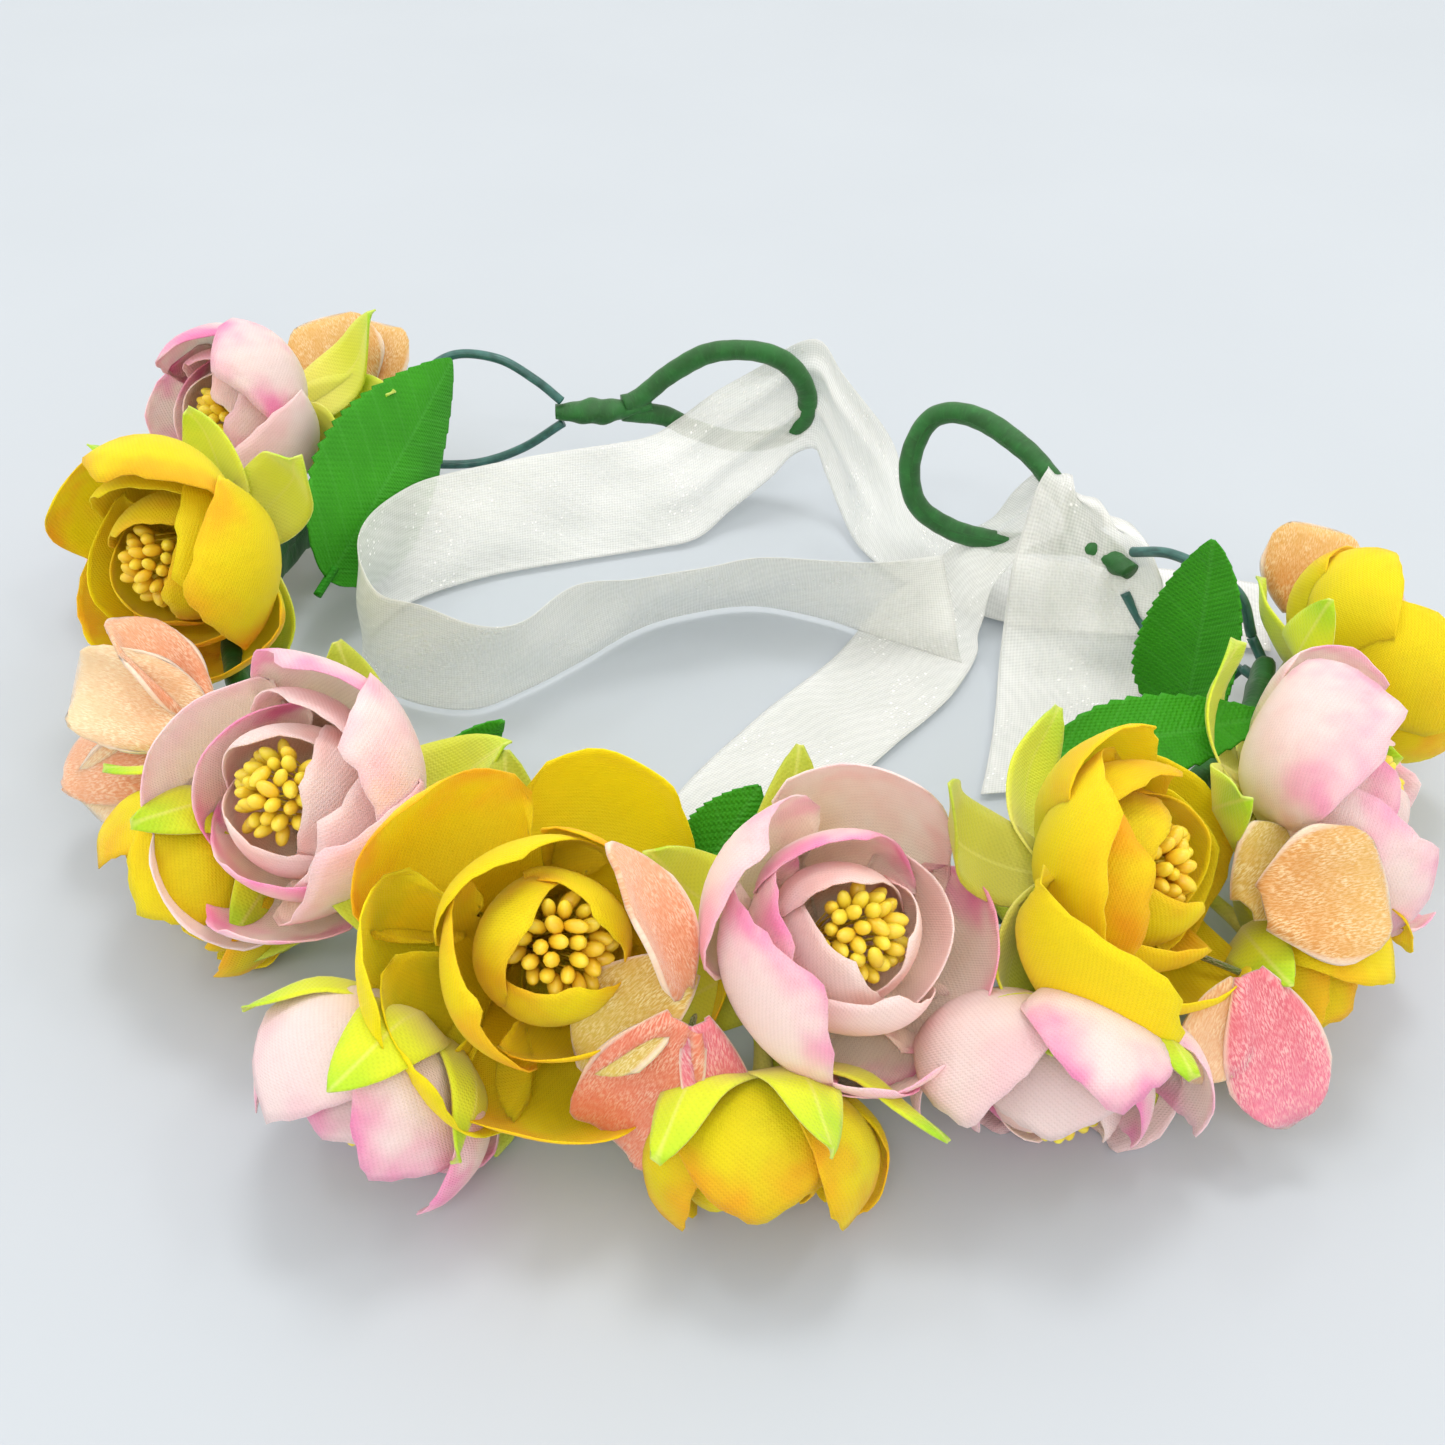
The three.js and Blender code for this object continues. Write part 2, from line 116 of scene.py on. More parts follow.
class Surface:
    """A material and its shader nodes. Each input is a value or another node's socket to link."""

    def __init__(self, name, **sockets):
        self.made = bpy.data.materials.new(name)
        self.made.use_nodes = True
        self.tree = self.made.node_tree
        self.shader = self.tree.nodes["Principled BSDF"]
        for key, value in sockets.items():
            self.shader.inputs[key.replace("_", " ")].default_value = value

    def node(self, kind, inputs, **settings):
        made = self.tree.nodes.new("ShaderNode" + kind)
        for key, value in settings.items():
            setattr(made, key, value)
        for key, value in inputs.items():
            if isinstance(value, bpy.types.NodeSocket):
                self.tree.links.new(value, made.inputs[key])
            else:
                made.inputs[key].default_value = value
        return made

    def calc(self, operation, *values):
        return self.node("Math", dict(enumerate(values)), operation=operation).outputs[0]

    def times(self, a, b):
        return self.calc("MULTIPLY", a, b)

    def plus(self, a, b):
        return self.calc("ADD", a, b)

    def ramp(self, value, low, high, out_low=0.0, out_high=1.0):
        made = self.node("MapRange", {0: value, 1: low, 2: high, 3: out_low, 4: out_high})
        made.interpolation_type = "SMOOTHSTEP"
        return made.outputs[0]

    def mix(self, factor, a, b, blend_type="MIX"):
        """Two colours mixed, where each is a socket, four numbers or a hex code."""
        a, b = (colour(c) if isinstance(c, str) else c for c in (a, b))
        made = self.node("Mix", {0: factor, 6: a, 7: b}, data_type="RGBA")
        made.blend_type = blend_type
        return made.outputs[2]

    def with_painted_shade(self, base, height, low):
        """The base darkened by the colour low where the height is small: painted shade in the low places
        of a weave or of ribs.
        """
        return self.mix(1.0, base, self.mix(height, low, (1, 1, 1, 1)), "MULTIPLY")

    def attribute(self, name):
        """A mesh attribute as a vector and as its three numbers."""
        vector = self.node("Attribute", {}, attribute_name=name).outputs["Vector"]
        parts = self.node("SeparateXYZ", {0: vector})
        return vector, parts.outputs[0], parts.outputs[1], parts.outputs[2]

    def noise(self, vector, scale, detail=2.0, roughness=0.5):
        inputs = {"Vector": vector, "Scale": scale, "Detail": detail, "Roughness": roughness}
        return self.node("TexNoise", inputs).outputs[0]

    def stretched(self, vector, across, along):
        """The vector scaled, so that a noise on it is drawn out where the scale is small."""
        scale = {0: vector, 1: (across, along, 1.0)}
        return self.node("VectorMath", scale, operation="MULTIPLY").outputs[0]

    def shifted(self, vector, offset):
        return self.node("VectorMath", {0: vector, 1: offset}, operation="ADD").outputs[0]

    def stripes(self, vector, direction, period):
        """A sine from 0 to 1 across evenly spaced threads that run square to the direction."""
        along = [2 * math.pi / period * c for c in (*unit(direction), 0)]
        phase = self.node("VectorMath", {0: vector, 1: along}, operation="DOT_PRODUCT").outputs[1]
        return self.calc("MULTIPLY_ADD", self.calc("SINE", phase), 0.5, 0.5)

    def ridges(self, vector, direction, period):
        """Stripes raised by a half, from 0.5 to 1.5."""
        return self.plus(self.stripes(vector, direction, period), 0.5)

    def weave(self, flat, twill=0.62 * MM, thread=0.36 * MM):
        """Woven cloth as a height: fine threads both ways under a diagonal twill line."""
        warp = self.ridges(flat, (1, 0.12), thread)
        weft = self.ridges(flat, (-0.12, 1), thread)
        diagonal = self.ridges(flat, (0.75, 1), twill)
        return self.plus(self.times(self.times(warp, weft), 0.45), self.times(diagonal, 0.55))

    def finish(self, base, height, strength, distance):
        """The material, with its base colour and a bump of the height linked to the shader."""
        self.tree.links.new(base, self.shader.inputs["Base Color"])
        bump = self.node("Bump", {"Height": height, "Strength": strength, "Distance": distance})
        self.tree.links.new(bump.outputs[0], self.shader.inputs["Normal"])
        return self.made


def petal_material(name, root, body, tip, inside, shade):
    """Woven petal cloth, dyed from its root to its body, with blotches of the tip's colour."""
    m = Surface(name, Roughness=0.7, Sheen_Weight=0.06, Sheen_Roughness=0.45, Specular_IOR_Level=0.3,
                Subsurface_Weight=0.5, Subsurface_Scale=2.5 * MM, Subsurface_Radius=(1.0, 0.85, 0.75))
    flat = m.attribute("flat")[0]
    _, along, edge, side = m.attribute("look")
    tint, blotch, deep, _ = m.attribute("tint")
    cloud = m.noise(m.shifted(flat, tint), 95)
    reach = m.plus(m.times(along, 0.7), m.times(edge, 0.3))
    reach = m.plus(reach, m.times(m.calc("SUBTRACT", cloud, 0.5), 0.9))
    base = m.mix(m.ramp(along, 0.1, 0.55), root, body)
    lining = m.times(side, m.ramp(along, 0.95, 0.45, 0.1, 0.9))
    base = m.mix(lining, base, inside)
    base = m.mix(m.times(deep, m.ramp(cloud, 0.3, 0.75)), base, shade)
    base = m.mix(m.times(blotch, m.ramp(reach, 0.5, 0.95)), base, tip)
    cloth = m.weave(flat)
    # Painted shade: the petal cloth is darker in the low places between its threads.
    base = m.with_painted_shade(base, cloth, (0.86, 0.82, 0.8, 1))
    creases = m.noise(m.stretched(flat, 1.0, 0.3), 330, 3.0)
    height = m.plus(cloth, m.times(creases, 4.0))
    return m.finish(base, height, 0.5, 0.14 * MM)


def sepal_material():
    m = Surface("sepals_cloth", Roughness=0.7, Sheen_Weight=0.2, Subsurface_Weight=0.4,
                Subsurface_Scale=2.0 * MM, Subsurface_Radius=(0.8, 1.0, 0.5))
    flat, across, _, _ = m.attribute("flat")
    _, along, _, side = m.attribute("look")
    tint, olive, _, _ = m.attribute("tint")
    cloud = m.noise(m.shifted(flat, tint), 120)
    base = m.mix(m.ramp(along, 0.15, 0.6), "f0ea7c", "d6e81a")
    reach = m.plus(along, m.times(m.calc("SUBTRACT", cloud, 0.5), 0.6))
    base = m.mix(m.ramp(reach, 0.6, 1.1), base, "9ad010")
    base = m.mix(m.times(side, 0.35), base, "dfe06a")
    base = m.mix(m.times(olive, 0.8), base, "a3a02c")
    midrib = m.times(m.ramp(m.calc("ABSOLUTE", across), 0.5 * MM, 0.0), 0.35)
    base = m.mix(midrib, base, "e8e88a")
    cloth = m.weave(flat, 0.7 * MM, 0.45 * MM)
    # Painted shade: the sepal cloth is darker in the low places between its threads.
    base = m.with_painted_shade(base, cloth, (0.84, 0.86, 0.8, 1))
    return m.finish(base, cloth, 0.4, 0.12 * MM)


def leaf_material():
    m = Surface("leaves_cloth", Roughness=0.65, Specular_IOR_Level=0.25)
    flat, across, run, _ = m.attribute("flat")
    side = m.attribute("look")[3]
    cloud = m.noise(flat, 60, 3.0)
    base = m.mix(m.ramp(cloud, 0.3, 0.7), "1f7d0c", "329c12")
    base = m.mix(m.times(side, 0.4), base, "48a524")
    outward = m.calc("ABSOLUTE", across)
    mirrored = m.node("CombineXYZ", {0: outward, 1: run}).outputs[0]
    ribs = m.ridges(mirrored, (-0.62, 1), 0.8 * MM)
    veins = m.calc("POWER", m.stripes(mirrored, (-0.85, 1), 5.0 * MM), 24.0)
    midrib = m.ramp(outward, 0.7 * MM, 0.1 * MM)
    lines = m.calc("MAXIMUM", m.times(veins, 0.6), midrib)
    base = m.mix(m.times(lines, 0.25), base, "57b046")
    cloth = m.weave(flat, 1.1 * MM, 0.55 * MM)
    height = m.plus(m.times(ribs, 0.5), m.times(cloth, 0.5))
    # Painted shade: the leaf is darker in the low places between its ribs and threads.
    base = m.with_painted_shade(base, height, (0.8, 0.84, 0.78, 1))
    height = m.plus(height, m.times(lines, -0.3))
    return m.finish(base, height, 0.6, 0.25 * MM)


def velvet_material():
    m = Surface("velvet_pile", Roughness=0.8, Sheen_Weight=0.7, Sheen_Roughness=0.3,
                Subsurface_Weight=0.3, Subsurface_Scale=1.5 * MM, Subsurface_Radius=(1.0, 0.7, 0.5))
    flat = m.attribute("flat")[0]
    _, along, edge, side = m.attribute("look")
    tint = m.attribute("tint")[0]
    crush = m.noise(m.stretched(flat, 1.0, 0.22), 4600, 3.0, 0.6)
    patches = m.noise(flat, 230, 3.0, 0.6)
    # A pale copy of the tint for the painted highlights, and a darker copy for the underside and for the
    # painted shade.
    painted_highlight_tint = m.mix(0.42, tint, "fff0d8")
    deep = m.mix(1.0, tint, "e8b090", "MULTIPLY")
    lining = m.times(side, m.ramp(along, 1.0, 0.2, 0.1, 0.6))
    base = m.mix(lining, tint, deep)
    # Painted highlight: the crushed pile is lighter where its bump stands high, in patches.
    painted_highlight = m.times(m.ramp(crush, 0.42, 0.62), m.ramp(patches, 0.35, 0.62, 0.3, 1.0))
    base = m.mix(painted_highlight, base, painted_highlight_tint)
    base = m.mix(m.ramp(edge, 0.86, 1.0, 0.0, 0.75), base, "ffe6d2")
    # Painted shade: the crushed pile is darker where its bump is low, in the darker copy of the tint.
    dark = m.times(m.ramp(crush, 0.42, 0.25), 0.3)
    base = m.mix(dark, base, deep)
    height = m.plus(m.times(crush, 0.5), patches)
    return m.finish(base, height, 0.8, 0.5 * MM)


def bead_material():
    m = Surface("stamens_gloss", Roughness=0.36, Coat_Weight=0.15, Coat_Roughness=0.25,
                Subsurface_Weight=0.5, Subsurface_Scale=2.0 * MM, Subsurface_Radius=(1.0, 0.8, 0.3))
    flat = m.attribute("flat")[0]
    along = m.attribute("look")[1]
    tint, green, dark, _ = m.attribute("tint")
    base = m.mix(m.ramp(along, 0.0, 0.9), "eebc1a", "fadc3c")
    base = m.mix(m.times(green, 0.6), base, "e6dc4a")
    base = m.mix(m.times(dark, 0.4), base, "e8ac20")
    speckle = m.noise(m.shifted(flat, tint), 1400, 2.0)
    base = m.mix(m.ramp(speckle, 0.5, 0.75, 0.0, 0.35), base, "f0d450")
    return m.finish(base, speckle, 0.3, 0.08 * MM)


def tape_material():
    m = Surface("floral_tape_crepe", Roughness=0.6, Sheen_Weight=0.15)
    flat = m.attribute("flat")[0]
    crepe = m.noise(m.stretched(flat, 0.35, 1.0), 900, 3.0, 0.65)
    cloud = m.noise(flat, 160, 2.0)
    base = m.mix(m.ramp(cloud, 0.3, 0.7), "125218", "1a6a24")
    base = m.mix(m.ramp(crepe, 0.5, 0.8, 0.0, 0.4), base, "338a3c")
    return m.finish(base, crepe, 0.7, 0.3 * MM)


def wire_material():
    m = Surface("coated_wire_satin", Roughness=0.36, Coat_Weight=0.1)
    flat = m.attribute("flat")[0]
    cloud = m.noise(flat, 300, 3.0)
    base = m.mix(m.ramp(cloud, 0.3, 0.7), "27524d", "3d726c")
    drawn = m.noise(m.stretched(flat, 1.0, 0.1), 2500)
    base = m.mix(m.ramp(drawn, 0.55, 0.8, 0.0, 0.3), base, "5d8f8a")
    return m.finish(base, drawn, 0.25, 0.06 * MM)


def organza_material():
    """Sheer cloth: its cover shows threads, watered silk lines, painted glints as tiny white specks and
    a selvage.
    """
    m = Surface("organza_sheer", Roughness=0.38, Sheen_Weight=0.3, Sheen_Roughness=0.3)
    flat = m.attribute("flat")[0]
    edge = m.attribute("look")[2]
    warp = m.ridges(flat, (1, 0.05), 0.55 * MM)
    weft = m.ridges(flat, (-0.05, 1), 0.6 * MM)
    bent = m.times(m.noise(flat, 60, 2.0), 12 * MM)
    swirl = m.shifted(flat, m.node("CombineXYZ", {0: bent}).outputs[0])
    moire = m.ridges(swirl, (1, 0.5), 2.3 * MM)
    cloud = m.noise(flat, 90, 3.0)
    # Painted glints: tiny voronoi cells picked at random, more of them in patches.
    cells = m.node("TexVoronoi", {"Vector": flat, "Scale": 1100.0, "Randomness": 1.0})
    pick = m.node("SeparateColor", {0: cells.outputs["Color"]}).outputs[0]
    gathered = m.ramp(m.noise(flat, 55, 2.0), 0.42, 0.62)
    dot = m.ramp(cells.outputs["Distance"], 0.5, 0.2)
    painted_glint = m.times(m.ramp(pick, 0.7, 0.78), dot)
    share = m.plus(m.times(gathered, 0.85), 0.15)
    painted_glint = m.times(painted_glint, share)
    base = m.mix(cloud, "eff2ee", "fbfcfb")
    # The painted glints are white.
    base = m.mix(painted_glint, base, (1.0, 1.0, 1.0, 1.0))
    threads = m.times(m.plus(warp, weft), 0.09)
    cover = m.plus(m.plus(threads, 0.26), m.times(moire, 0.05))
    cover = m.plus(cover, m.times(cloud, 0.1))
    selvage = m.ramp(edge, 0.93, 0.98)
    cover = m.calc("MAXIMUM", cover, m.times(selvage, 0.62))
    # The cover is opaque at the painted glints.
    cover = m.calc("MAXIMUM", cover, painted_glint)
    m.tree.links.new(cover, m.shader.inputs["Alpha"])
    height = m.plus(m.plus(warp, weft), m.times(painted_glint, 3.0))
    return m.finish(base, height, 0.3, 0.1 * MM)


# Petal cloths: root, body, blotched tip, lining and deep shade.
PINK = petal_material("pink_petals_cloth", "f8f0cc", "ffdfdc", "f87cb2", "fff0d2", "ffbca8")
YELLOW = petal_material("yellow_petals_cloth", "cfc912", "f7da00", "fba010", "f5cf08", "cfc60c")
SEPALS = sepal_material()
LEAVES = leaf_material()
VELVET = velvet_material()
BEADS = bead_material()
TAPE = tape_material()
WIRE = wire_material()
ORGANZA = organza_material()


# -------- mesh building


def above_floor(points):
    """Presses what would reach under the table flat on it, as soft cloth lies."""
    points = np.array(points, float)
    room = FLOOR_START - FLOOR_GAP
    z = points[..., 2]
    pressed = FLOOR_START - room * (1 - np.exp(-(FLOOR_START - z) / room))
    points[..., 2] = np.where(z < FLOOR_START, pressed, z)
    return points


class Cloth:
    """Collects curved sheets, each a closed thin shell, into one mesh.
    Each vertex keeps flat (across, along, 0) in metres, look (along, edge, side) and a tint."""

    def __init__(self):
        self.verts, self.faces, self.flat, self.look, self.tint = [], [], [], [], []
        self.count = 0

    def put(self, verts, faces, flat, look, tint):
        self.verts.append(verts)
        self.faces += [tuple(v + self.count for v in face) for face in faces]
        self.flat.append(flat)
        self.look.append(look)
        self.tint.append(np.broadcast_to(tint, verts.shape))
        self.count += len(verts)

    def sheet(self, grid, thickness, across, along, share, edge, tint):
        """A shell about a grid of points. The look's numbers may be a row, a column or a grid."""
        across, along, share, edge = np.broadcast_arrays(across, along, share, edge)
        rows, cols = grid.shape[:2]
        normal = np.cross(np.gradient(grid, axis=1), np.gradient(grid, axis=0))
        normal /= np.maximum(np.linalg.norm(normal, axis=2, keepdims=True), 1e-12)
        flat = np.dstack([across, along, np.zeros_like(across)]).reshape(-1, 3)
        layers = [above_floor(grid + normal * half) for half in (thickness / 2, -thickness / 2)]
        sides = [np.dstack([share, edge, np.full_like(share, s)]).reshape(-1, 3) for s in (0.0, 1.0)]
        index = np.arange(rows * cols).reshape(rows, cols)
        a, b = index[:-1, :-1].ravel(), index[:-1, 1:].ravel()
        c, d = index[1:, 1:].ravel(), index[1:, :-1].ravel()
        top = np.stack([a, b, c, d], 1)
        under = np.stack([d, c, b, a], 1) + rows * cols
        ring = np.concatenate([index[0, :-1], index[:-1, -1], index[-1, :0:-1], index[:0:-1, 0]])
        turn = np.roll(ring, -1)
        rim = np.stack([turn, ring, ring + rows * cols, turn + rows * cols], 1)
        faces = np.concatenate([top, under, rim]).tolist()
        verts = np.concatenate([layer.reshape(-1, 3) for layer in layers])
        self.put(verts, faces, np.concatenate([flat, flat]), np.concatenate(sides), tint)

    def tube(self, path, radius, sides, tint=(0, 0, 0), squash=1.0):
        """A round bar along a path, closed at both ends. radius is a number, a column of numbers
        along the path, or a function of the run along it and the angle around it."""
        path = np.asarray(path, float)
        steps = len(path)
        tangent = np.gradient(path, axis=0)
        tangent /= np.linalg.norm(tangent, axis=1, keepdims=True)
        start = UP if abs(tangent[0] @ UP) < 0.9 else np.array([1.0, 0.0, 0.0])
        side = unit(np.cross(start, tangent[0]))
        run = np.concatenate([[0], np.cumsum(np.linalg.norm(np.diff(path, axis=0), axis=1))])
        around = np.arange(sides) / sides * 2 * math.pi
        radii = radius(run[:, None], around[None, :]) if callable(radius) else radius
        radii = np.zeros((steps, sides)) + radii
        rings = []
        for i in range(steps):
            side = unit(side - tangent[i] * (side @ tangent[i]))
            over = np.cross(tangent[i], side)
            out = np.cos(around)[:, None] * side + np.sin(around)[:, None] * over * squash
            rings.append(path[i] + out * radii[i][:, None])
        verts = np.concatenate([*rings, [path[0]], [path[-1]]])
        index = np.arange(steps * sides).reshape(steps, sides)
        a, b = index[:-1], np.roll(index, -1, 1)[:-1]
        c, d = np.roll(index, -1, 1)[1:], index[1:]
        faces = np.stack([a, b, c, d], 2).reshape(-1, 4).tolist()
        first, last = steps * sides, steps * sides + 1
        faces += [(first, int(q), int(p)) for p, q in zip(index[0], np.roll(index[0], -1))]
        faces += [(last, int(p), int(q)) for p, q in zip(index[-1], np.roll(index[-1], -1))]
        flat = np.stack([np.broadcast_to(around * radii.mean(), (steps, sides)),
                         np.broadcast_to(run[:, None], (steps, sides)), np.zeros((steps, sides))], 2)
        flat = np.concatenate([flat.reshape(-1, 3), [[0, 0, 0], [0, run[-1], 0]]])
        look = np.zeros_like(flat)
        look[:, 0] = flat[:, 1] / run[-1]
        self.put(verts, faces, flat, look, tint)

    def made(self, name, surface, body, slot, *nodes):
        """The mesh object, riding on its body and in place of the CAD nodes. slot is not used."""
        mesh = bpy.data.meshes.new(name)
        mesh.from_pydata(np.concatenate(self.verts).tolist(), [], self.faces)
        for key, values in (("flat", self.flat), ("look", self.look), ("tint", self.tint)):
            layer = mesh.attributes.new(key, "FLOAT_VECTOR", "POINT")
            layer.data.foreach_set("vector", np.concatenate(values).astype(np.float32).ravel())
        mesh.polygons.foreach_set("use_smooth", np.ones(len(self.faces), bool))
        mesh.materials.append(surface)
        mesh.update()
        obj = add_object(name, mesh)
        if body:
            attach(obj, body)
        if nodes:
            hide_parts(*nodes)
        return obj


# -------- blooms


def numbers(items, key, width):
    made = np.zeros(len(items) * width)
    items.foreach_get(key, made)
    return made.reshape(-1, width)


def centroid(name):
    """The middle of a CAD node's surface."""
    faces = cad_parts[name].data.polygons
    areas = numbers(faces, "area", 1)
    return (numbers(faces, "center", 3) * areas).sum(0) / areas.sum()


def corners(name):
    """Every vertex of a CAD node."""
    return numbers(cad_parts[name].data.vertices, "co", 3)


WIDEST_AT = 0.08  # height of the CAD cup's widest ring above its centre, as a share of its radius
SPREAD = 1.25  # how far the petals spread beyond the CAD cup


class Bloom:
    """The place, axes and size of a bloom, read off its CAD cup and stamens."""

    def __init__(self, name):
        self.name = name
        points = corners(name + "_petals")
        low = centroid(name + "_petals")
        self.n = unit(centroid(name + "_stamens") - low)
        height = (points - low) @ self.n
        away = np.linalg.norm(points - low - height[:, None] * self.n, axis=1)
        cad_radius = away.max()
        ring = height[away > 0.999 * cad_radius].mean()
        self.centre = low + self.n * (ring - WIDEST_AT * cad_radius)
        self.size = SPREAD * cad_radius
        self.e1 = unit(np.cross(UP, self.n))
        self.e2 = np.cross(self.n, self.e1)

    def out(self, degrees):
        a = math.radians(degrees)
        return math.cos(a) * self.e1 + math.sin(a) * self.e2

    def at(self, degrees, r, z):
        return self.centre + self.size * (r * self.out(degrees) + z * self.n)

    def grid(self, degrees, profile, lateral):
        """Points from their place on a profile and their distance sideways, in bloom sizes."""
        return self.centre + self.size * (profile[..., :1] * self.out(degrees)
                                          + lateral[..., None] * self.out(degrees + 90)
                                          + profile[..., 1:] * self.n)


# Profiles of the petal layers from root to tip, as (distance from the axis, height) in bloom sizes.
BUD = [(0.05, -0.5), (0.32, -0.46), (0.5, -0.22), (0.5, 0.08), (0.38, 0.32), (0.2, 0.44)]
MIDDLE = [(0.05, -0.55), (0.4, -0.52), (0.64, -0.26), (0.67, 0.06), (0.55, 0.34), (0.36, 0.5)]
OUTER = [(0.05, -0.6), (0.5, -0.58), (0.84, -0.3), (0.94, 0.04), (0.85, 0.34), (0.68, 0.52)]
SEPAL = [(0.06, -0.64), (0.46, -0.7), (0.9, -0.56), (1.2, -0.2)]
HINGE_R, HINGE_Z = 0.12, -0.52  # where every petal and sepal swings out from
PROFILE_POINTS = 60
PETAL_THICKNESS, SEPAL_THICKNESS = 0.24 * MM, 0.4 * MM
SEPAL_BREADTH = 0.42


def on_profile(line, share):
    """Points and slopes at a share of the way along a profile of PROFILE_POINTS points."""
    where = share * (PROFILE_POINTS - 1)
    base = np.minimum(where.astype(int), PROFILE_POINTS - 2)
    part = (where - base)[..., None]
    centre = line[base] * (1 - part) + line[base + 1] * part
    slope = line[base + 1] - line[base]
    slope /= np.linalg.norm(slope, axis=2, keepdims=True)
    return centre, np.dstack([slope[..., 1], -slope[..., 0]])


def opened(profile, degrees):
    """The profile swung out about its root."""
    a = math.radians(degrees)
    r, z = np.array(profile).T
    r, z = r - HINGE_R, z - HINGE_Z
    return np.stack([HINGE_R + r * math.cos(a) + z * math.sin(a),
                     HINGE_Z + z * math.cos(a) - r * math.sin(a)], 1)


def petal(cloth, bloom, random, profile, turn, width, swing, length, tuck, curl, point, blotch, deep,
          shoulder=0.52):
    """One wrapped petal. width is half its breadth and length trims it, in bloom sizes. tuck lifts one
    side over the next petal, curl turns the rim in and point sharpens the tip."""
    rows, cols = 18, 21
    line, total = spline(opened(profile, swing), PROFILE_POINTS)
    t = np.linspace(-1, 1, cols)[None, :]
    top = shoulder + (1 - shoulder) * (1 - np.abs(t) ** 2.3) ** 0.62
    top = top + point * np.exp(-((t / 0.16) ** 2)) * 0.07
    s = np.linspace(0, 1, rows)[:, None] * top * length
    ragged = random.normal(0, 0.006, cols)
    ragged[0] = ragged[-1] = 0
    s[-1] += ragged
    s[-2] += 0.5 * ragged
    centre, outward = on_profile(line, np.clip(s, 0, 1.08))
    breadth = width * (0.2 + 0.8 * np.sin(math.pi / 2 * np.clip(s / (0.62 * length), 0, 1)))
    across = t * breadth
    bend = 1.0 / np.maximum(centre[..., 0], 0.42)
    lateral = np.sin(across * bend) / bend
    inward = (1 - np.cos(across * bend)) / bend
    wave = random.uniform(0, 2 * math.pi, 4)
    ripple = (0.018 * np.sin(3.1 * t + 2.2 * s + wave[0])
              + 0.012 * np.sin(5.3 * s - 2.0 * t + wave[1])
              + 0.014 * s * np.sin(7.0 * t + wave[2]) * np.abs(t))
    lift = tuck * t + ripple + curl * smooth(s / length, 0.72, 1.0) ** 1.5
    grid = bloom.grid(turn, centre - outward * (inward - lift)[..., None], lateral)
    size = bloom.size
    tint = (blotch, deep, random.uniform(0, 1))
    cloth.sheet(grid, PETAL_THICKNESS, across * size, s * total * size, s / length,
                np.abs(t), tint)


def sepal(cloth, bloom, random, turn, swing, reach):
    """One pointed sepal, folded a little along its middle. reach trims its length."""
    rows, cols = 16, 9
    line, total = spline(opened(SEPAL, swing), PROFILE_POINTS)
    t = np.linspace(-1, 1, cols)[None, :]
    s = np.linspace(0, 1, rows)[:, None] + 0 * t
    centre, outward = on_profile(line, s * reach)
    outline = np.maximum(s**0.45 * (1 - s) ** 0.75 * 1.75, 0.02)
    across = t * SEPAL_BREADTH * outline
    wave = random.uniform(0, 2 * math.pi, 2)
    fold = -0.22 * np.abs(across) + 0.02 * np.sin(6 * s + wave[0])
    twist = 0.06 * math.sin(wave[1]) * s * t
    grid = bloom.grid(turn, centre + outward * (fold + twist)[..., None], across)
    size = bloom.size
    tint = (float(random.uniform(0, 1) < 0.15) * 0.7, 0.0, random.uniform(0, 1))
    cloth.sheet(grid, SEPAL_THICKNESS, across * size, s * total * size, s, np.abs(t), tint)


def bead(cloth, centre, axis, radius, half, tint):
    """A rice-grain bead: a turned oval."""
    profile = [(math.sin(a), math.cos(a)) for a in np.linspace(0.06, math.pi - 0.06, 8)]
    path = [centre - axis * half * z for _, z in profile]
    radii = np.array([r for r, _ in profile])[:, None] * radius
    cloth.tube(path, radii, 9, tint)


# The dome of beads: how many, and its radius and the height of its top, in bloom sizes.
BEADS_EACH, DOME, DOME_TOP = 32, 0.29, 0.3
GOLDEN_TURN = math.pi * (3 - math.sqrt(5))


def stamens(bloom, random, green):
    """Beads on threads, packed in a dome."""
    cloth = Cloth()
    for i in range(BEADS_EACH):
        lean = math.acos(1 - (i + 0.5) / BEADS_EACH * 0.86)
        turn = math.degrees(i * GOLDEN_TURN)
        r = DOME * math.sin(lean) * random.uniform(0.92, 1.05)
        z = DOME_TOP + DOME * 0.8 * (math.cos(lean) - 1) + random.uniform(-0.02, 0.025)
        centre = bloom.at(turn, r, z)
        axis = unit(bloom.n * math.cos(lean * 0.7) + bloom.out(turn) * math.sin(lean * 0.7)
                    + random.normal(0, 0.33, 3))
        tint = (green * random.uniform(0.5, 1), random.uniform(0, 1), random.uniform(0, 1))
        half = random.uniform(1.75, 2.1) * MM
        bead(cloth, centre, axis, random.uniform(1.02, 1.2) * MM, half, tint)
        root = bloom.at(turn, 0.05, -0.5)
        thread, _ = spline([root, bloom.at(turn, r * 0.6, z - 0.35), centre - axis * half], 6)
        cloth.tube(thread, 0.17 * MM, 4, (0.6, 0.6, 0.5))
    return cloth


def stem(cloth, bloom):
    """The wired stem from the calyx to the band, along the CAD calyx's own stem."""
    points = corners(bloom.name + "_calyx")
    foot = bloom.at(0, 0, -0.66)
    away = np.linalg.norm(points - foot, axis=1)
    beyond = (points - foot) @ bloom.n < -2.0 * MM
    tips = points[beyond & (away > 0.8 * away[beyond].max())] if beyond.any() else points[:0]
    end = tips.mean(0) if len(tips) else foot - bloom.n * 3 * MM
    middle = (foot + end) / 2 - bloom.n * 0.5 * MM
    path, _ = spline([foot + bloom.n * 0.12 * bloom.size, middle, end], 16)
    cloth.tube(path, lambda run, _: (1.1 + 1.4 * np.exp(-run / (2.5 * MM))) * MM, 10, (0.4, 0.0, 0.3))


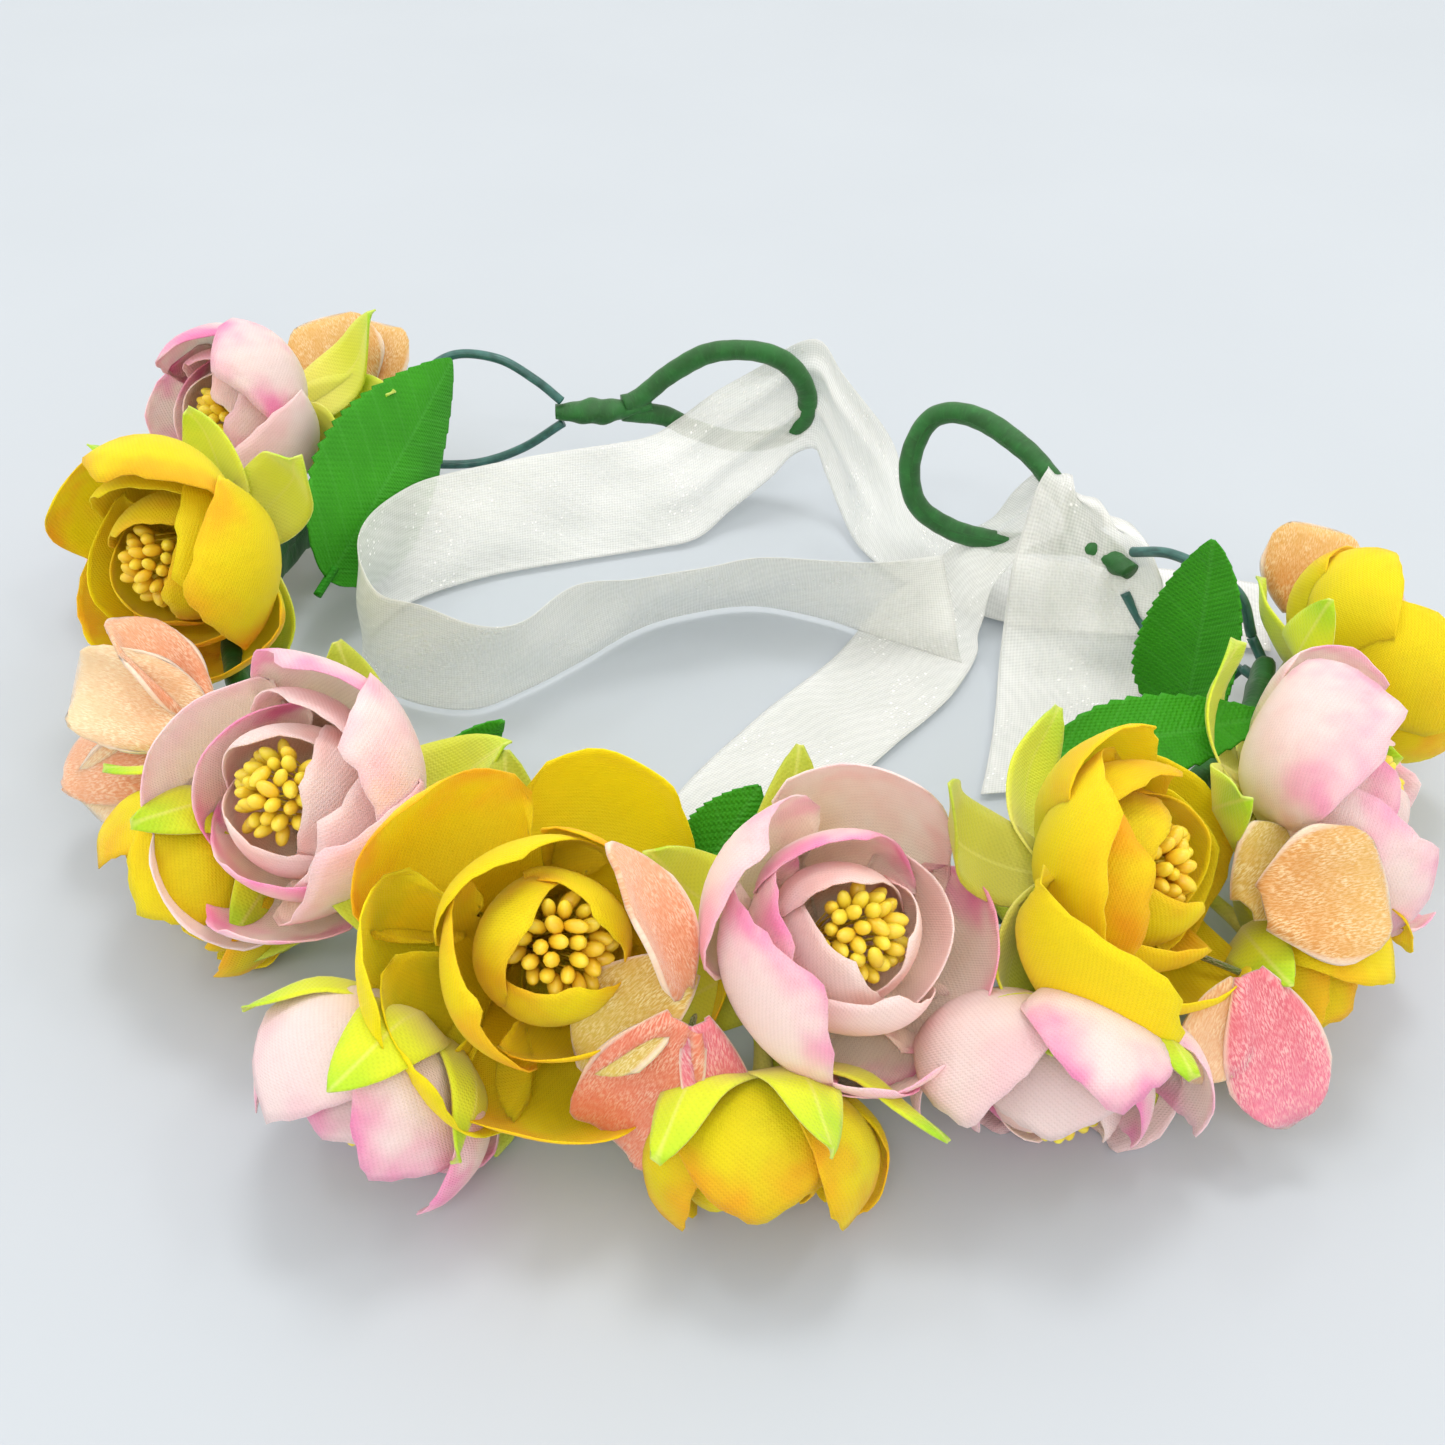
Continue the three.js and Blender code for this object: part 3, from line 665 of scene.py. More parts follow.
# Each bloom's draw of random numbers, turn of its spiral, how far its layers open (bud, middle, outer,
# in degrees) and its sepals as (turn, swing, reach). Its colour is the last word of its name.
BLOOMS = {
    "left_back_pink": (3, 20, (0, 2, 2), [
        (350, 0, 0.85), (30, 30, 1.1), (62, 28, 1.25), (165, 0, 0.9), (250, 0, 0.9)]),
    "left_yellow": (5, 200, (2, 4, 4), [
        (48, 8, 1.1), (190, 15, 1.1), (213, 20, 1.1), (110, 0, 0.8), (300, 0, 1.0)]),
    "left_front_pink": (7, 100, (0, 2, 4), [
        (42, 12, 1.15), (122, 8, 1.0), (190, 38, 1.25), (262, 6, 1.05), (330, 0, 0.9)]),
    "front_left_yellow": (11, 95, (-4, 6, 30), [
        (70, 32, 1.15), (139, 36, 1.2), (195, 40, 1.3), (242, 36, 1.25), (320, 12, 0.9)]),
    "front_pink": (13, 150, (-2, 2, 10), [
        (54, 22, 1.2), (122, 12, 1.1), (172, 8, 1.05), (235, 6, 1.0), (300, 6, 0.9)]),
    "front_right_yellow": (17, 60, (0, 2, 4), [
        (112, 14, 1.2), (196, 14, 1.15), (300, 10, 1.2), (250, 0, 1.0), (30, 5, 1)]),
    "right_pink": (19, 130, (-2, 2, 3), [
        (132, 10, 1.1), (60, 5, 1.0), (200, 10, 1.1), (270, 0, 1.0), (340, 0, 1.0)]),
    "right_back_yellow": (23, 40, (2, 6, 10), [
        (100, 20, 1.2), (160, 30, 1.3), (230, 5, 1.0), (300, 5, 1), (20, 5, 1)]),
    "low_left_back_pink": (29, 40, (2, 4, 6), [
        (30, 15, 1.2), (90, 30, 1.3), (160, 10, 1.1), (235, 0, 1), (310, 0, 1)]),
    "low_left_yellow": (31, 80, (2, 6, 8), [
        (80, 10, 1.2), (140, 15, 1.2), (20, 5, 1.1), (220, 0, 1), (300, 0, 1)]),
    "low_front_left_pink": (37, 70, (0, 2, 4), [
        (70, 10, 1.25), (130, 5, 1.1), (15, 0, 1.0), (210, 0, 1), (290, 0, 1)]),
    "low_front_yellow": (41, 60, (2, 2, 2), [
        (70, 12, 1.2), (20, 20, 1.3), (130, 10, 1.2), (220, 0, 1), (300, 0, 1)]),
    "low_front_right_pink": (43, 90, (2, 6, 14), [
        (100, -8, 0.8), (150, 5, 0.9), (40, 5, 1.0), (220, 0, 1), (320, 0, 1)]),
    "low_right_yellow": (47, 120, (2, 6, 10), [
        (135, 20, 1.2), (60, 25, 1.3), (0, 10, 1.2), (200, 0, 1), (280, 0, 1)]),
}
RESIZED = {"front_pink": 0.94, "low_front_yellow": 0.98}
MOVED = {"low_front_yellow": (2, -3, -2)}  # in millimetres


# Outer petals that are placed one by one: turn, swing, half breadth, length, rim tint and deep shade.
OUTERS = {
    "left_front_pink": [
        (100, 2, 0.85, 0.92, 0.9, 0.0), (190, 6, 0.9, 0.96, 0.5, 0.0), (238, 14, 0.8, 0.95, 0.1, 0.0),
        (345, 0, 0.85, 0.9, 0.4, 0.2), (285, 6, 0.7, 0.84, 1.0, 0.1), (40, 2, 0.8, 0.95, 0.5, 0.2)],
    "front_left_yellow": [
        (112, 38, 0.8, 1.0, 1.0, 0.0), (172, 34, 0.85, 1.0, 0.0, 1.0), (202, 26, 0.75, 0.95, 0.0, 1.0),
        (250, 32, 0.85, 1.05, 0.8, 0.3), (28, 44, 0.8, 1.0, 0.1, 0.3), (310, 22, 0.8, 0.95, 0.9, 0.2)],
    "front_pink": [
        (182, 2, 0.9, 1.0, 1.0, 0.1), (118, 10, 0.85, 0.92, 0.6, 0.0), (36, 20, 0.85, 1.0, 0.3, 0.6),
        (318, 12, 0.8, 0.98, 1.0, 0.2), (262, 14, 0.85, 0.92, 0.9, 0.0), (240, 8, 0.75, 0.84, 1.0, 0.0)],
    "front_right_yellow": [
        (188, 24, 1.0, 1.05, 0.1, 0.1), (118, -12, 0.95, 0.7, 0.4, 0.2), (50, -10, 0.85, 0.72, 0.5, 0.2),
        (246, 4, 1.0, 0.92, 0.2, 0.1), (328, 4, 0.85, 0.86, 0.5, 0.2)],
    "low_front_yellow": [
        (96, 2, 0.75, 0.95, 1.0, 0.6), (156, 4, 0.7, 1.0, 0.9, 0.9), (216, 2, 0.75, 0.95, 1.0, 0.5),
        (276, 4, 0.7, 1.0, 1.0, 0.7), (336, 2, 0.75, 0.95, 1.0, 0.6), (36, 4, 0.7, 1.0, 0.9, 0.9)],
}


LOW_SEPAL_SWING, SEPAL_SWING = -12, 10  # added to each sepal's swing, in degrees


def make_bloom(name, seed, turn, opens, sepals):
    """A whole bloom: three bud petals, four in the middle, the outer ones, beads and calyx."""
    bloom = Bloom(name)
    low = name.startswith("low_")
    bloom.size *= RESIZED.get(name, 1.0)
    bloom.centre = bloom.centre + np.array(MOVED.get(name, (0, 0, 0))) * MM
    random = np.random.RandomState(seed)
    pink = name.endswith("pink")
    bud, middle, outer = opens
    cloth = Cloth()
    for i in range(3):
        petal(cloth, bloom, random, BUD, turn + 40 + 120 * i + random.uniform(-8, 8), 0.66, bud,
              random.uniform(0.84, 0.92), 0.04, 0.0, 0.6, 0.15 if pink else 0.7, 0.7, 0.72)
    for i in range(4):
        petal(cloth, bloom, random, MIDDLE, turn + 90 * i + random.uniform(-14, 14), 0.78,
              middle + random.uniform(-3, 3), random.uniform(0.78, 0.92), 0.07, 0.015, 0.8,
              random.choice([0.1, 0.7, 1.0]), random.uniform(0.05, 0.4), 0.62)
    count, half_breadth = (6, 0.7) if low else (5, 0.84)
    spaced = [(turn + 36 + 360 / count * i + random.uniform(-10, 10), outer + random.uniform(-5, 7),
               half_breadth, random.uniform(0.88, 1.03), random.choice([0.3, 0.8, 1.0]),
               random.uniform(0.0, 0.35)) for i in range(count)]
    for around, swing, width, length, blotch, deep in OUTERS.get(name, spaced):
        petal(cloth, bloom, random, OUTER, around, width, swing, length, 0.07, 0.05, 0.8, blotch, deep)
    cloth.made("bloom_" + name + "_petals", PINK if pink else YELLOW, "band",
               "pink_petals" if pink else "yellow_petals", name + "_petals")
    beads = stamens(bloom, random, 1.0 if pink else 0.1)
    beads.made("bloom_" + name + "_stamens", BEADS, "band", "stamens", name + "_stamens")
    calyx = Cloth()
    for around, swing, reach in sepals:
        sepal(calyx, bloom, random, around, swing + (LOW_SEPAL_SWING if low else SEPAL_SWING), reach)
    stem(calyx, bloom)
    calyx.made("bloom_" + name + "_calyx", SEPALS, "band", "sepals", name + "_calyx")


for bloom_name, bloom_look in BLOOMS.items():
    make_bloom(bloom_name, *bloom_look)


# -------- velvet petals and leaves


def free_petal(cloth, base, heading, face, length, width, outline, bend, cup, roll, twist, thickness,
               wavy, phase, tint=(0, 0, 0), rows=20, cols=17):
    """A petal or leaf in millimetres from its root: bend curls its length and cup its breadth towards
    its face, roll turns its rim back, twist winds it. Angles are in radians over its whole size."""
    heading = unit(heading)
    face = unit(np.asarray(face, float) - heading * (np.asarray(face, float) @ heading))
    fine = np.linspace(0, 1, 61)
    angle = bend * fine
    x = np.concatenate([[0], np.cumsum((np.cos(angle[1:]) + np.cos(angle[:-1])) / 2) / 60])
    y = np.concatenate([[0], np.cumsum((np.sin(angle[1:]) + np.sin(angle[:-1])) / 2) / 60])
    t = np.linspace(-1, 1, cols)[None, :]
    s, breadth = outline(np.linspace(0, 1, rows)[:, None], t)
    across = t * breadth * width / 2
    bent = bend * s
    side = np.cross(face, heading)
    k = cup / (width / 2)
    lateral = np.sin(across * k) / k
    lift = (1 - np.cos(across * k)) / k
    lift = lift + wavy * np.sin(5.5 * s + phase) * np.abs(t) ** 1.5
    near_rim = np.maximum(np.abs(t), smooth(s, 0.7, 1.0))
    lift = lift - roll * smooth(near_rim, 0.55, 1.0) ** 2 * width * 0.2
    wound = twist * s
    lateral, lift = (lateral * np.cos(wound) - lift * np.sin(wound),
                     lateral * np.sin(wound) + lift * np.cos(wound))
    ahead = np.interp(s, fine, x) * length - np.sin(bent) * lift
    up = np.interp(s, fine, y) * length + np.cos(bent) * lift
    points = ahead[..., None] * heading + up[..., None] * face + lateral[..., None] * side
    grid = placed(np.asarray(base, float) + points)
    edge = np.maximum(np.abs(t), smooth(s, 0.8, 1.0))
    cloth.sheet(grid, thickness * MM, across * MM, s * length * MM, s, edge, tint)


# Outlines take the share along (s) and across (t) and give the share along and the breadth there.


def rounded(s, t):
    top = 0.52 + 0.48 * (1 - np.abs(t) ** 2.2) ** 0.5
    s = s * top
    return s, 0.3 + 0.7 * np.sin(math.pi / 2 * np.clip(s / 0.5, 0, 1))


def tapered(s, t):
    top = 0.62 + 0.38 * (1 - np.abs(t) ** 1.5) ** 0.8
    s = s * top
    narrowed = 1 - 0.25 * smooth(s, 0.6, 1.0)
    return s, 0.25 + 0.75 * np.sin(math.pi / 2 * np.clip(s / 0.55, 0, 1)) * narrowed


def serrated(teeth, depth):
    def outline(s, t):
        s = s + 0 * t
        breadth = np.sin(math.pi * np.clip(s, 0, 1) ** 0.75) ** 0.8 * 0.98 + 0.02
        tooth = (s * teeth) % 1.0
        return s, breadth * (1 - depth * tooth * np.abs(t) ** 6)

    return outline


PEACH, CREAM, ROSE = (colour(c)[:3] for c in ("efb48c", "f3d9ae", "ea86a2"))
GOLD, SALMON, LIME_GOLD = (colour(c)[:3] for c in ("dfb566", "ee937a", "d9cb62"))
STEM_OLIVE = colour("55701c")[:3]

# The band's run, in CAD millimetres: part of an ellipse, in degrees.
BAND_RX, BAND_RY, BAND_Y = 99.0, 84.0, 8.0
BAND_FROM, BAND_TO = 142, 344
BAND_HALF_THICKNESS, BAND_HALF_HEIGHT, BAND_MIDDLE = 2.25, 6.0, 17.0

# Velvet petals in CAD millimetres: root, heading, face, length, width, bend, cup,
# roll, twist and colour.
VELVETS = {
    "left_velvet_blossom": [
        ([-92, -40, 30], [-0.7, 0.5, 0.5], [0.5, -0.6, 0.6], 23, 16, 0.2, 1.4, 0.6, 0.5, PEACH),
        ([-92, -42, 30], [-0.92, 0.1, 0.35], [0.3, -0.6, 0.75], 24, 21, -0.3, 1.1, 0.7, -0.4, CREAM),
        ([-94, -42, 28], [-0.97, 0.0, -0.12], [0.0, -0.5, 0.9], 29, 20, -0.5, -0.8, 0.6, 0.4, PEACH),
        ([-97, -42, 26], [-0.75, -0.3, -0.5], [-0.3, -0.7, 0.6], 24, 18, -0.4, 0.8, 0.5, -0.3, CREAM)],
    "front_velvet_blossom": [
        ([-10, -102, 34], [-0.28, 0.2, 0.9], [0.75, -0.65, 0.1], 26, 13, -0.2, 0.9, 0.3, 0.6, PEACH),
        ([-10, -107, 34], [-0.48, -0.3, -0.8], [-0.1, -0.8, 0.5], 27, 19, -0.4, 0.9, 0.5, 0.2, SALMON),
        ([-8, -107, 34], [0.22, -0.42, -0.88], [0.4, -0.8, 0.3], 27, 13, -0.2, 1.0, 0.5, -0.3, ROSE),
        ([-10, -99, 37], [-0.78, -0.45, -0.5], [-0.1, -0.5, 0.85], 22, 16, -0.3, 0.6, 0.4, 0.2,
         LIME_GOLD)],
    "right_velvet_blossom": [
        ([73, -87, 35], [0.97, 0.12, 0.15], [-0.3, -0.6, 0.7], 20, 21, -0.3, 0.4, 0.3, 0.1, GOLD),
        ([70, -95, 30], [0.35, -0.65, -0.7], [0.1, -0.6, 0.8], 26, 17, -0.4, 0.6, 0.5, 0.1, ROSE),
        ([69, -96, 29], [-0.4, -0.6, -0.75], [0.0, -0.6, 0.8], 17, 11, -0.3, 0.6, 0.4, 0.0, CREAM),
        ([72, -84, 32], [0.72, 0.66, 0.2], [-0.3, -0.6, 0.7], 17, 16, -0.2, 0.4, 0.3, 0.1, LIME_GOLD)],
    "left_end_velvet_blossom": [
        ([-86, 68, 28], [-0.35, 0.45, 0.7], [0.2, -0.8, 0.5], 20, 22, -0.3, 0.6, 0.4, 0.2, GOLD),
        ([-86, 69, 28], [0.15, 0.65, 0.5], [0.2, -0.6, 0.7], 20, 20, -0.3, 0.7, 0.4, 0.0, GOLD),
        ([-86, 69, 27], [-0.85, 0.4, 0.3], [0.0, -0.5, 0.8], 18, 18, -0.4, 0.6, 0.4, 0.0, PEACH),
        ([-86, 71, 26], [0.1, 0.8, -0.2], [0.1, 0.2, 0.9], 20, 18, -0.4, 0.6, 0.4, 0.0, CREAM)],
    "right_end_velvet_blossom": [
        ([105, -2, 22], [0.15, 0.5, 0.7], [-0.3, -0.7, 0.6], 18, 20, -0.3, 0.7, 0.5, 0.2, GOLD),
        ([106, -2, 22], [0.8, 0.5, 0.3], [-0.2, -0.5, 0.8], 21, 18, -0.4, 0.6, 0.4, 0.0, GOLD),
        ([108, -3, 20], [0.95, 0.1, 0.15], [-0.1, -0.5, 0.8], 21, 18, -0.4, 0.6, 0.4, 0.0, PEACH),
        ([108, 2, 20], [0.6, 0.8, -0.1], [0.1, 0.2, 0.95], 20, 18, -0.5, 0.5, 0.4, 0.0, CREAM)],
}

VELVET_THICKNESS, LEAF_THICKNESS = 0.8, 0.45  # in millimetres
NARROW = 18  # velvet petals narrower than this taper and wave more


def velvet_blossom(name, petals):
    """The curled petals and their thin stem, which runs to the nearest place on the band."""
    cloth = Cloth()
    for number, petal_look in enumerate(petals):
        base, heading, face, length, width, bend, cup, roll, twist, tint = petal_look
        narrow = width < NARROW
        free_petal(cloth, base, heading, face, length, width, tapered if narrow else rounded, bend,
                   cup, roll, twist, VELVET_THICKNESS, 1.1 if narrow else 0.6, 1.7 * number, tint)
    root = np.mean([p[0] for p in petals], axis=0) - [0.0, 0.0, 7.0]
    angle = math.atan2((root[1] - BAND_Y) / BAND_RY, root[0] / BAND_RX) % (2 * math.pi)
    angle = min(max(angle, math.radians(BAND_FROM + 2)), math.radians(BAND_TO - 2))
    foot = np.array([BAND_RX * math.cos(angle), BAND_Y + BAND_RY * math.sin(angle),
                     BAND_MIDDLE - 2])
    stalk = curve([root, (root + foot) / 2 - [0, 0, 2], foot], 16)
    cloth.tube(stalk, 0.5 * MM, 8, STEM_OLIVE)
    cloth.made(name + "_petals", VELVET, "band", "velvet", name)


for blossom_name, blossom_petals in VELVETS.items():
    velvet_blossom(blossom_name, blossom_petals)


# Leaves in CAD millimetres: root, heading, face, length, width, bend, cup, twist.
END_LEAVES = {
    "left_end_leaf": ([-85.2, 18.2, 15.1], [0.43, 0.8, 0.42], [0.75, -0.6, 0.3],
                      58, 34, -0.15, -0.4, 0.1),
    "right_end_leaf": ([80.0, -22.9, 10.4], [0.05, 0.2, 0.95], [-0.75, -0.6, 0.1],
                       40, 23, 0.2, 0.9, 0.2),
}


def end_leaf(name, base, heading, face, length, width, bend, cup, twist):
    cloth = Cloth()
    free_petal(cloth, base, heading, face, length, width, serrated(19, 0.07), bend, cup, 0.0, twist,
               LEAF_THICKNESS, 0.8, 0.6, rows=96, cols=25)
    towards = unit(heading)
    stalk = curve([np.add(base, towards * 3), base, np.subtract(base, towards * 4)], 10)
    cloth.tube(stalk, 0.9 * MM, 8)
    cloth.made(name + "_serrated", LEAVES, "band", "leaves", name)


for leaf_name, leaf_look in END_LEAVES.items():
    end_leaf(leaf_name, *leaf_look)


# Small leaves that peep out between the blooms.
SMALL_LEAVES = [
    ([-58, -52, 18], [0.55, 0.35, 0.55], [0.5, -0.8, 0.1], 24, 14, 0.3, 0.5, 0.0),
    ([-9, -72, 24], [0.5, 0.5, 0.6], [0.0, -0.8, 0.6], 18, 14, 0.2, 0.5, 0.1),
    ([48, -52, 32], [0.95, 0.15, 0.1], [-0.1, -0.6, 0.8], 38, 15, -0.1, 0.5, -0.1),
]


def small_leaves():
    cloth = Cloth()
    for number, look in enumerate(SMALL_LEAVES):
        base, heading, face, length, width, bend, cup, twist = look
        free_petal(cloth, base, heading, face, length, width, serrated(13, 0.1), bend, cup, 0.0,
                   twist, LEAF_THICKNESS, 0.6, number, rows=66, cols=19)
    cloth.made("small_leaves", LEAVES, "band", "leaves")


small_leaves()


# -------- band, wires and eyelets


def band():
    """The taped band along its part of the ellipse, a little short of the CAD band's ends."""
    angles = np.radians(np.linspace(BAND_FROM + 0.6, BAND_TO - 0.6, 420))
    path = np.stack([BAND_RX * np.cos(angles), BAND_Y + BAND_RY * np.sin(angles),
                     np.full_like(angles, BAND_MIDDLE)], 1)

    def section(run, around):
        """A flat bundle of stems, with the ridges of the tape wound round it."""
        flat = (np.abs(np.cos(around) / BAND_HALF_THICKNESS) ** 3
                + np.abs(np.sin(around) / BAND_HALF_HEIGHT) ** 3)
        wound = (run / (9.0 * MM) + around / (2 * math.pi)) % 1.0
        return (flat ** (-1 / 3) * (0.97 + 0.05 * wound) + 0.12 * np.sin(3 * around + run * 700)) * MM

    cloth = Cloth()
    cloth.tube(placed(path), section, 40)
    cloth.made("wound_band", TAPE, "band", "floral_tape", "taped_band")


band()

# The runs of the wires, the necks that bind them and the eyelets' loops, as in the CAD part. The roots
# are where each wire leaves the tape, up to the point where it bends.
WIRES = {
    "left_upper_wire": [[-75, 61, 25], [-71, 67, 33], [-64, 70.5, 37], [-54, 69, 37], [-46, 67, 33],
        [-40.5, 66.5, 28]],
    "left_lower_wire": [[-75, 61, 17], [-70, 64.5, 13], [-60, 66, 12.5], [-50, 66.5, 16],
        [-40.5, 66.5, 22.5]],
    "right_upper_wire": [[92.5, -12, 25], [89, -11, 33], [84, -7, 35.5], [78, -0.5, 35], [73.5, 7, 30]],
    "right_lower_wire": [[92.5, -12, 17], [88, -11, 11.5], [82, -3, 10.5], [77.5, 5, 14.5],
        [74, 8, 19.5]],
}
WIRE_ROOTS = [
    [[-79.5, 58, 19], [-77.2, 59.6, 21.5], [-75.2, 60.8, 24.6]],
    [[-79.5, 58, 17], [-77, 59.7, 16.9], [-75.2, 60.9, 17]],
    [[96, -17.5, 19], [94.3, -14.4, 21.8], [92.6, -12.2, 24.6]],
    [[95.8, -17.5, 17], [94.2, -14.4, 16.9], [92.6, -12.2, 17]],
]
NECKS = {
    "left": [[-42, 66.3, 25.3], [-38, 66.6, 25.2], [-30, 67.5, 25], [-21, 70, 25]],
    "right": [[74, 7.5, 24.8], [72, 11, 24.8], [69, 16, 25], [65, 22, 25]],
}
LOOPS = {
    "left": [[-27, 68.5, 25.8], [-24, 69.5, 26.5], [-17, 71.5, 31.5], [-9, 71.5, 36.5], [0, 70, 38.5],
        [9, 70, 35.5], [14, 70, 27], [11, 70.5, 18], [0, 71.5, 14.5], [-11, 71.5, 17.5],
        [-18, 71, 21.5], [-27, 68.5, 24.2]],
    "right": [[68.5, 17, 25.8], [67, 19, 26.5], [62.5, 25.5, 31.5], [55, 33.5, 37], [45.5, 43, 38.5],
        [38, 46.5, 35], [34.5, 44, 26], [36.5, 41, 18], [43.5, 38.5, 13.5], [53, 33, 14],
        [61.5, 26, 18.5], [68.5, 17, 24.2]],
}
WIRE_RADIUS, WIRE_SIDES = 1.0 * MM, 14
EYELET_RADIUS, KNOT_RADIUS = 2.25, 1.6  # in millimetres


def wires():
    """Each wire rides with its eyelet's body, and the roots stay with the band."""
    roots = Cloth()
    for points in WIRE_ROOTS:
        roots.tube(curve(points, 12), WIRE_RADIUS, WIRE_SIDES)
    roots.made("wire_roots_coated", WIRE, "band", "coated_wire")
    for name, points in WIRES.items():
        cloth = Cloth()
        cloth.tube(curve(points, 70), WIRE_RADIUS, WIRE_SIDES)
        cloth.made(name + "_coated", WIRE, name.split("_")[0] + "_end", "coated_wire", name)


def eyelet(side):
    """A tape-wrapped loop and the taped neck that closes it, in one piece."""

    def wrapped(run, around):
        return (EYELET_RADIUS + 0.05 * np.sin(around + run * 570)
                + 0.05 * np.sin(2 * around + run * 310) + 0.03 * np.sin(run * 1700 + 3 * around)) * MM

    def knot(run, around):
        middle = np.exp(-(((run - 9 * MM) / (7 * MM)) ** 2))
        return (KNOT_RADIUS + 1.8 * middle + 0.15 * np.sin(around + run * 900)
                + 0.15 * np.sin(3 * around + run * 1400)) * MM

    cloth = Cloth()
    cloth.tube(curve(LOOPS[side], 220), wrapped, 20)
    cloth.tube(curve(NECKS[side], 60), knot, 20, squash=0.8)
    cloth.made(side + "_eyelet_wrapped", TAPE, side + "_end", "floral_tape", side + "_eyelet")


wires()
eyelet("left")
eyelet("right")


# -------- ribbons

RIBBON_WIDTH = 0.025
RIBBON_THICKNESS = 0.14 * MM

# Each station is the ribbon's two edges, x y z and x y z, in CAD millimetres.
LEFT_RIBBON = [
    (44, 8, 0.6, 40, 20, 20), (27, 17, 0.5, 29, 13, 23), (16, 23, 0.5, 16, 15, 23),
    (3, 27, 0.5, 1, 16, 22), (-10, 25, 0.5, -9, 13, 22), (-22, 20, 0.5, -21, 9, 22),
    (-34, 9, 0.5, -32, 4, 24), (-44, 0, 0.5, -42, -6, 24), (-54, -6, 0.5, -51, -8, 25),
    (-66, -4, 0.5, -62, -3, 25), (-75, 2, 0.5, -71, 1, 25), (-79, 12, 0.5, -77, 14, 25),
    (-76, 22, 0.5, -77, 30, 23.5), (-70, 30, 0.5, -71, 43, 21.5), (-58, 37, 0.5, -60, 50, 21),
    (-43, 42, 0.5, -44, 56, 21), (-21, 48, 0.5, -23, 64, 20), (-11, 51, 1.5, -15, 69, 22),
    (-3, 58, 5, -6, 73, 27), (6, 65, 10, 4, 73.5, 33), (11, 67.5, 14, 11, 73.5, 38),
    (16.5, 68, 15, 16.5, 72, 39.5), (19, 64, 10, 21, 69, 34), (22, 57, 4, 27, 65, 28),
    (26, 47, 1.5, 33, 61, 20), (33, 37, 1.2, 37, 53, 12), (43, 28, 1.0, 46, 46, 7),
    (56, 21, 0.8, 60, 44, 3), (74, 18, 0.6, 76, 42, 1.2), (92, 16, 0.6, 94, 40, 0.8),
    (108, 12, 0.6, 112, 35, 0.8),
]
RIGHT_RIBBON = [
    (43, -30, 0.9, 70, -27, 0.9), (46, -19, 0.9, 72, -15, 0.9), (48.5, -8, 0.9, 77, -5, 1.0),
    (50.5, 3, 1.8, 79.5, 2, 5), (52, 12, 9, 80.5, 4, 14), (54, 19, 22, 80, 5, 23),
    (57, 23.5, 33, 78.5, 7, 27.5), (59.5, 26.5, 36.5, 76.5, 10.5, 29.5), (60, 31, 34, 73, 17, 29),
    (57, 34, 28, 68, 21, 25), (52, 37, 18, 60, 22, 21), (46, 40, 9, 51, 21, 12), (38, 36, 3, 48, 16, 4),
    (29, 28, 1.2, 47, 10, 1.2), (18, 10, 1.0, 40, -3, 1.0), (4, -6, 0.9, 27, -18, 0.9),
    (-9, -23, 0.9, 13, -35, 0.9), (-18, -38, 0.9, 3, -51, 0.9),
]


def ribbon(side, stations, end, seed):
    """A rippled organza ribbon, gathered near its eyelet around end. It rides on no body."""
    random = np.random.RandomState(seed)
    rails, length = spline(placed(np.reshape(stations, (-1, 2, 3))), 260)
    t = np.linspace(-1, 1, 22)[None, :]
    run = np.linspace(0, 1, len(rails))[:, None]
    near, far = (1 - t[..., None]) / 2, (1 + t[..., None]) / 2
    grid = rails[:, None, 0] * near + rails[:, None, 1] * far
    normal = np.cross(np.gradient(grid, axis=1), np.gradient(grid, axis=0))
    normal /= np.linalg.norm(normal, axis=2, keepdims=True)
    waves = random.uniform(0, 2 * math.pi, 6)
    ripple = (0.55 * np.sin(run * 34 + 1.8 * t + waves[0]) + 0.4 * np.sin(run * 61 - 2.4 * t + waves[1])
              + 0.25 * np.sin(run * 97 + 4.5 * t + waves[2]))
    gather = np.exp(-(((grid - placed(end)) ** 2).sum(2) / (0.022**2)))
    ripple = ripple + 1.1 * gather * np.sin(9 * t + 6 * run + waves[3])
    ripple = ripple + 0.35 * gather * np.sin(17 * t + waves[4])
    lying = np.clip(grid[..., 2] / (6 * MM), 0.25, 1)  # it ripples less where it lies on the table
    grid = grid + normal * (ripple * lying * MM)[..., None]
    cloth = Cloth()
    cloth.sheet(grid, RIBBON_THICKNESS, t * RIBBON_WIDTH / 2, run * length, run, np.abs(t), (0, 0, 0))
    name = side + "_ribbon"
    obj = cloth.made(name, ORGANZA, None, "organza", name + "_turn", name + "_tail")
    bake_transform(obj)


ribbon("left", LEFT_RIBBON, [6, 64, 27], 2)
ribbon("right", RIGHT_RIBBON, [64, 20, 30], 4)


# -------- stage, light and camera


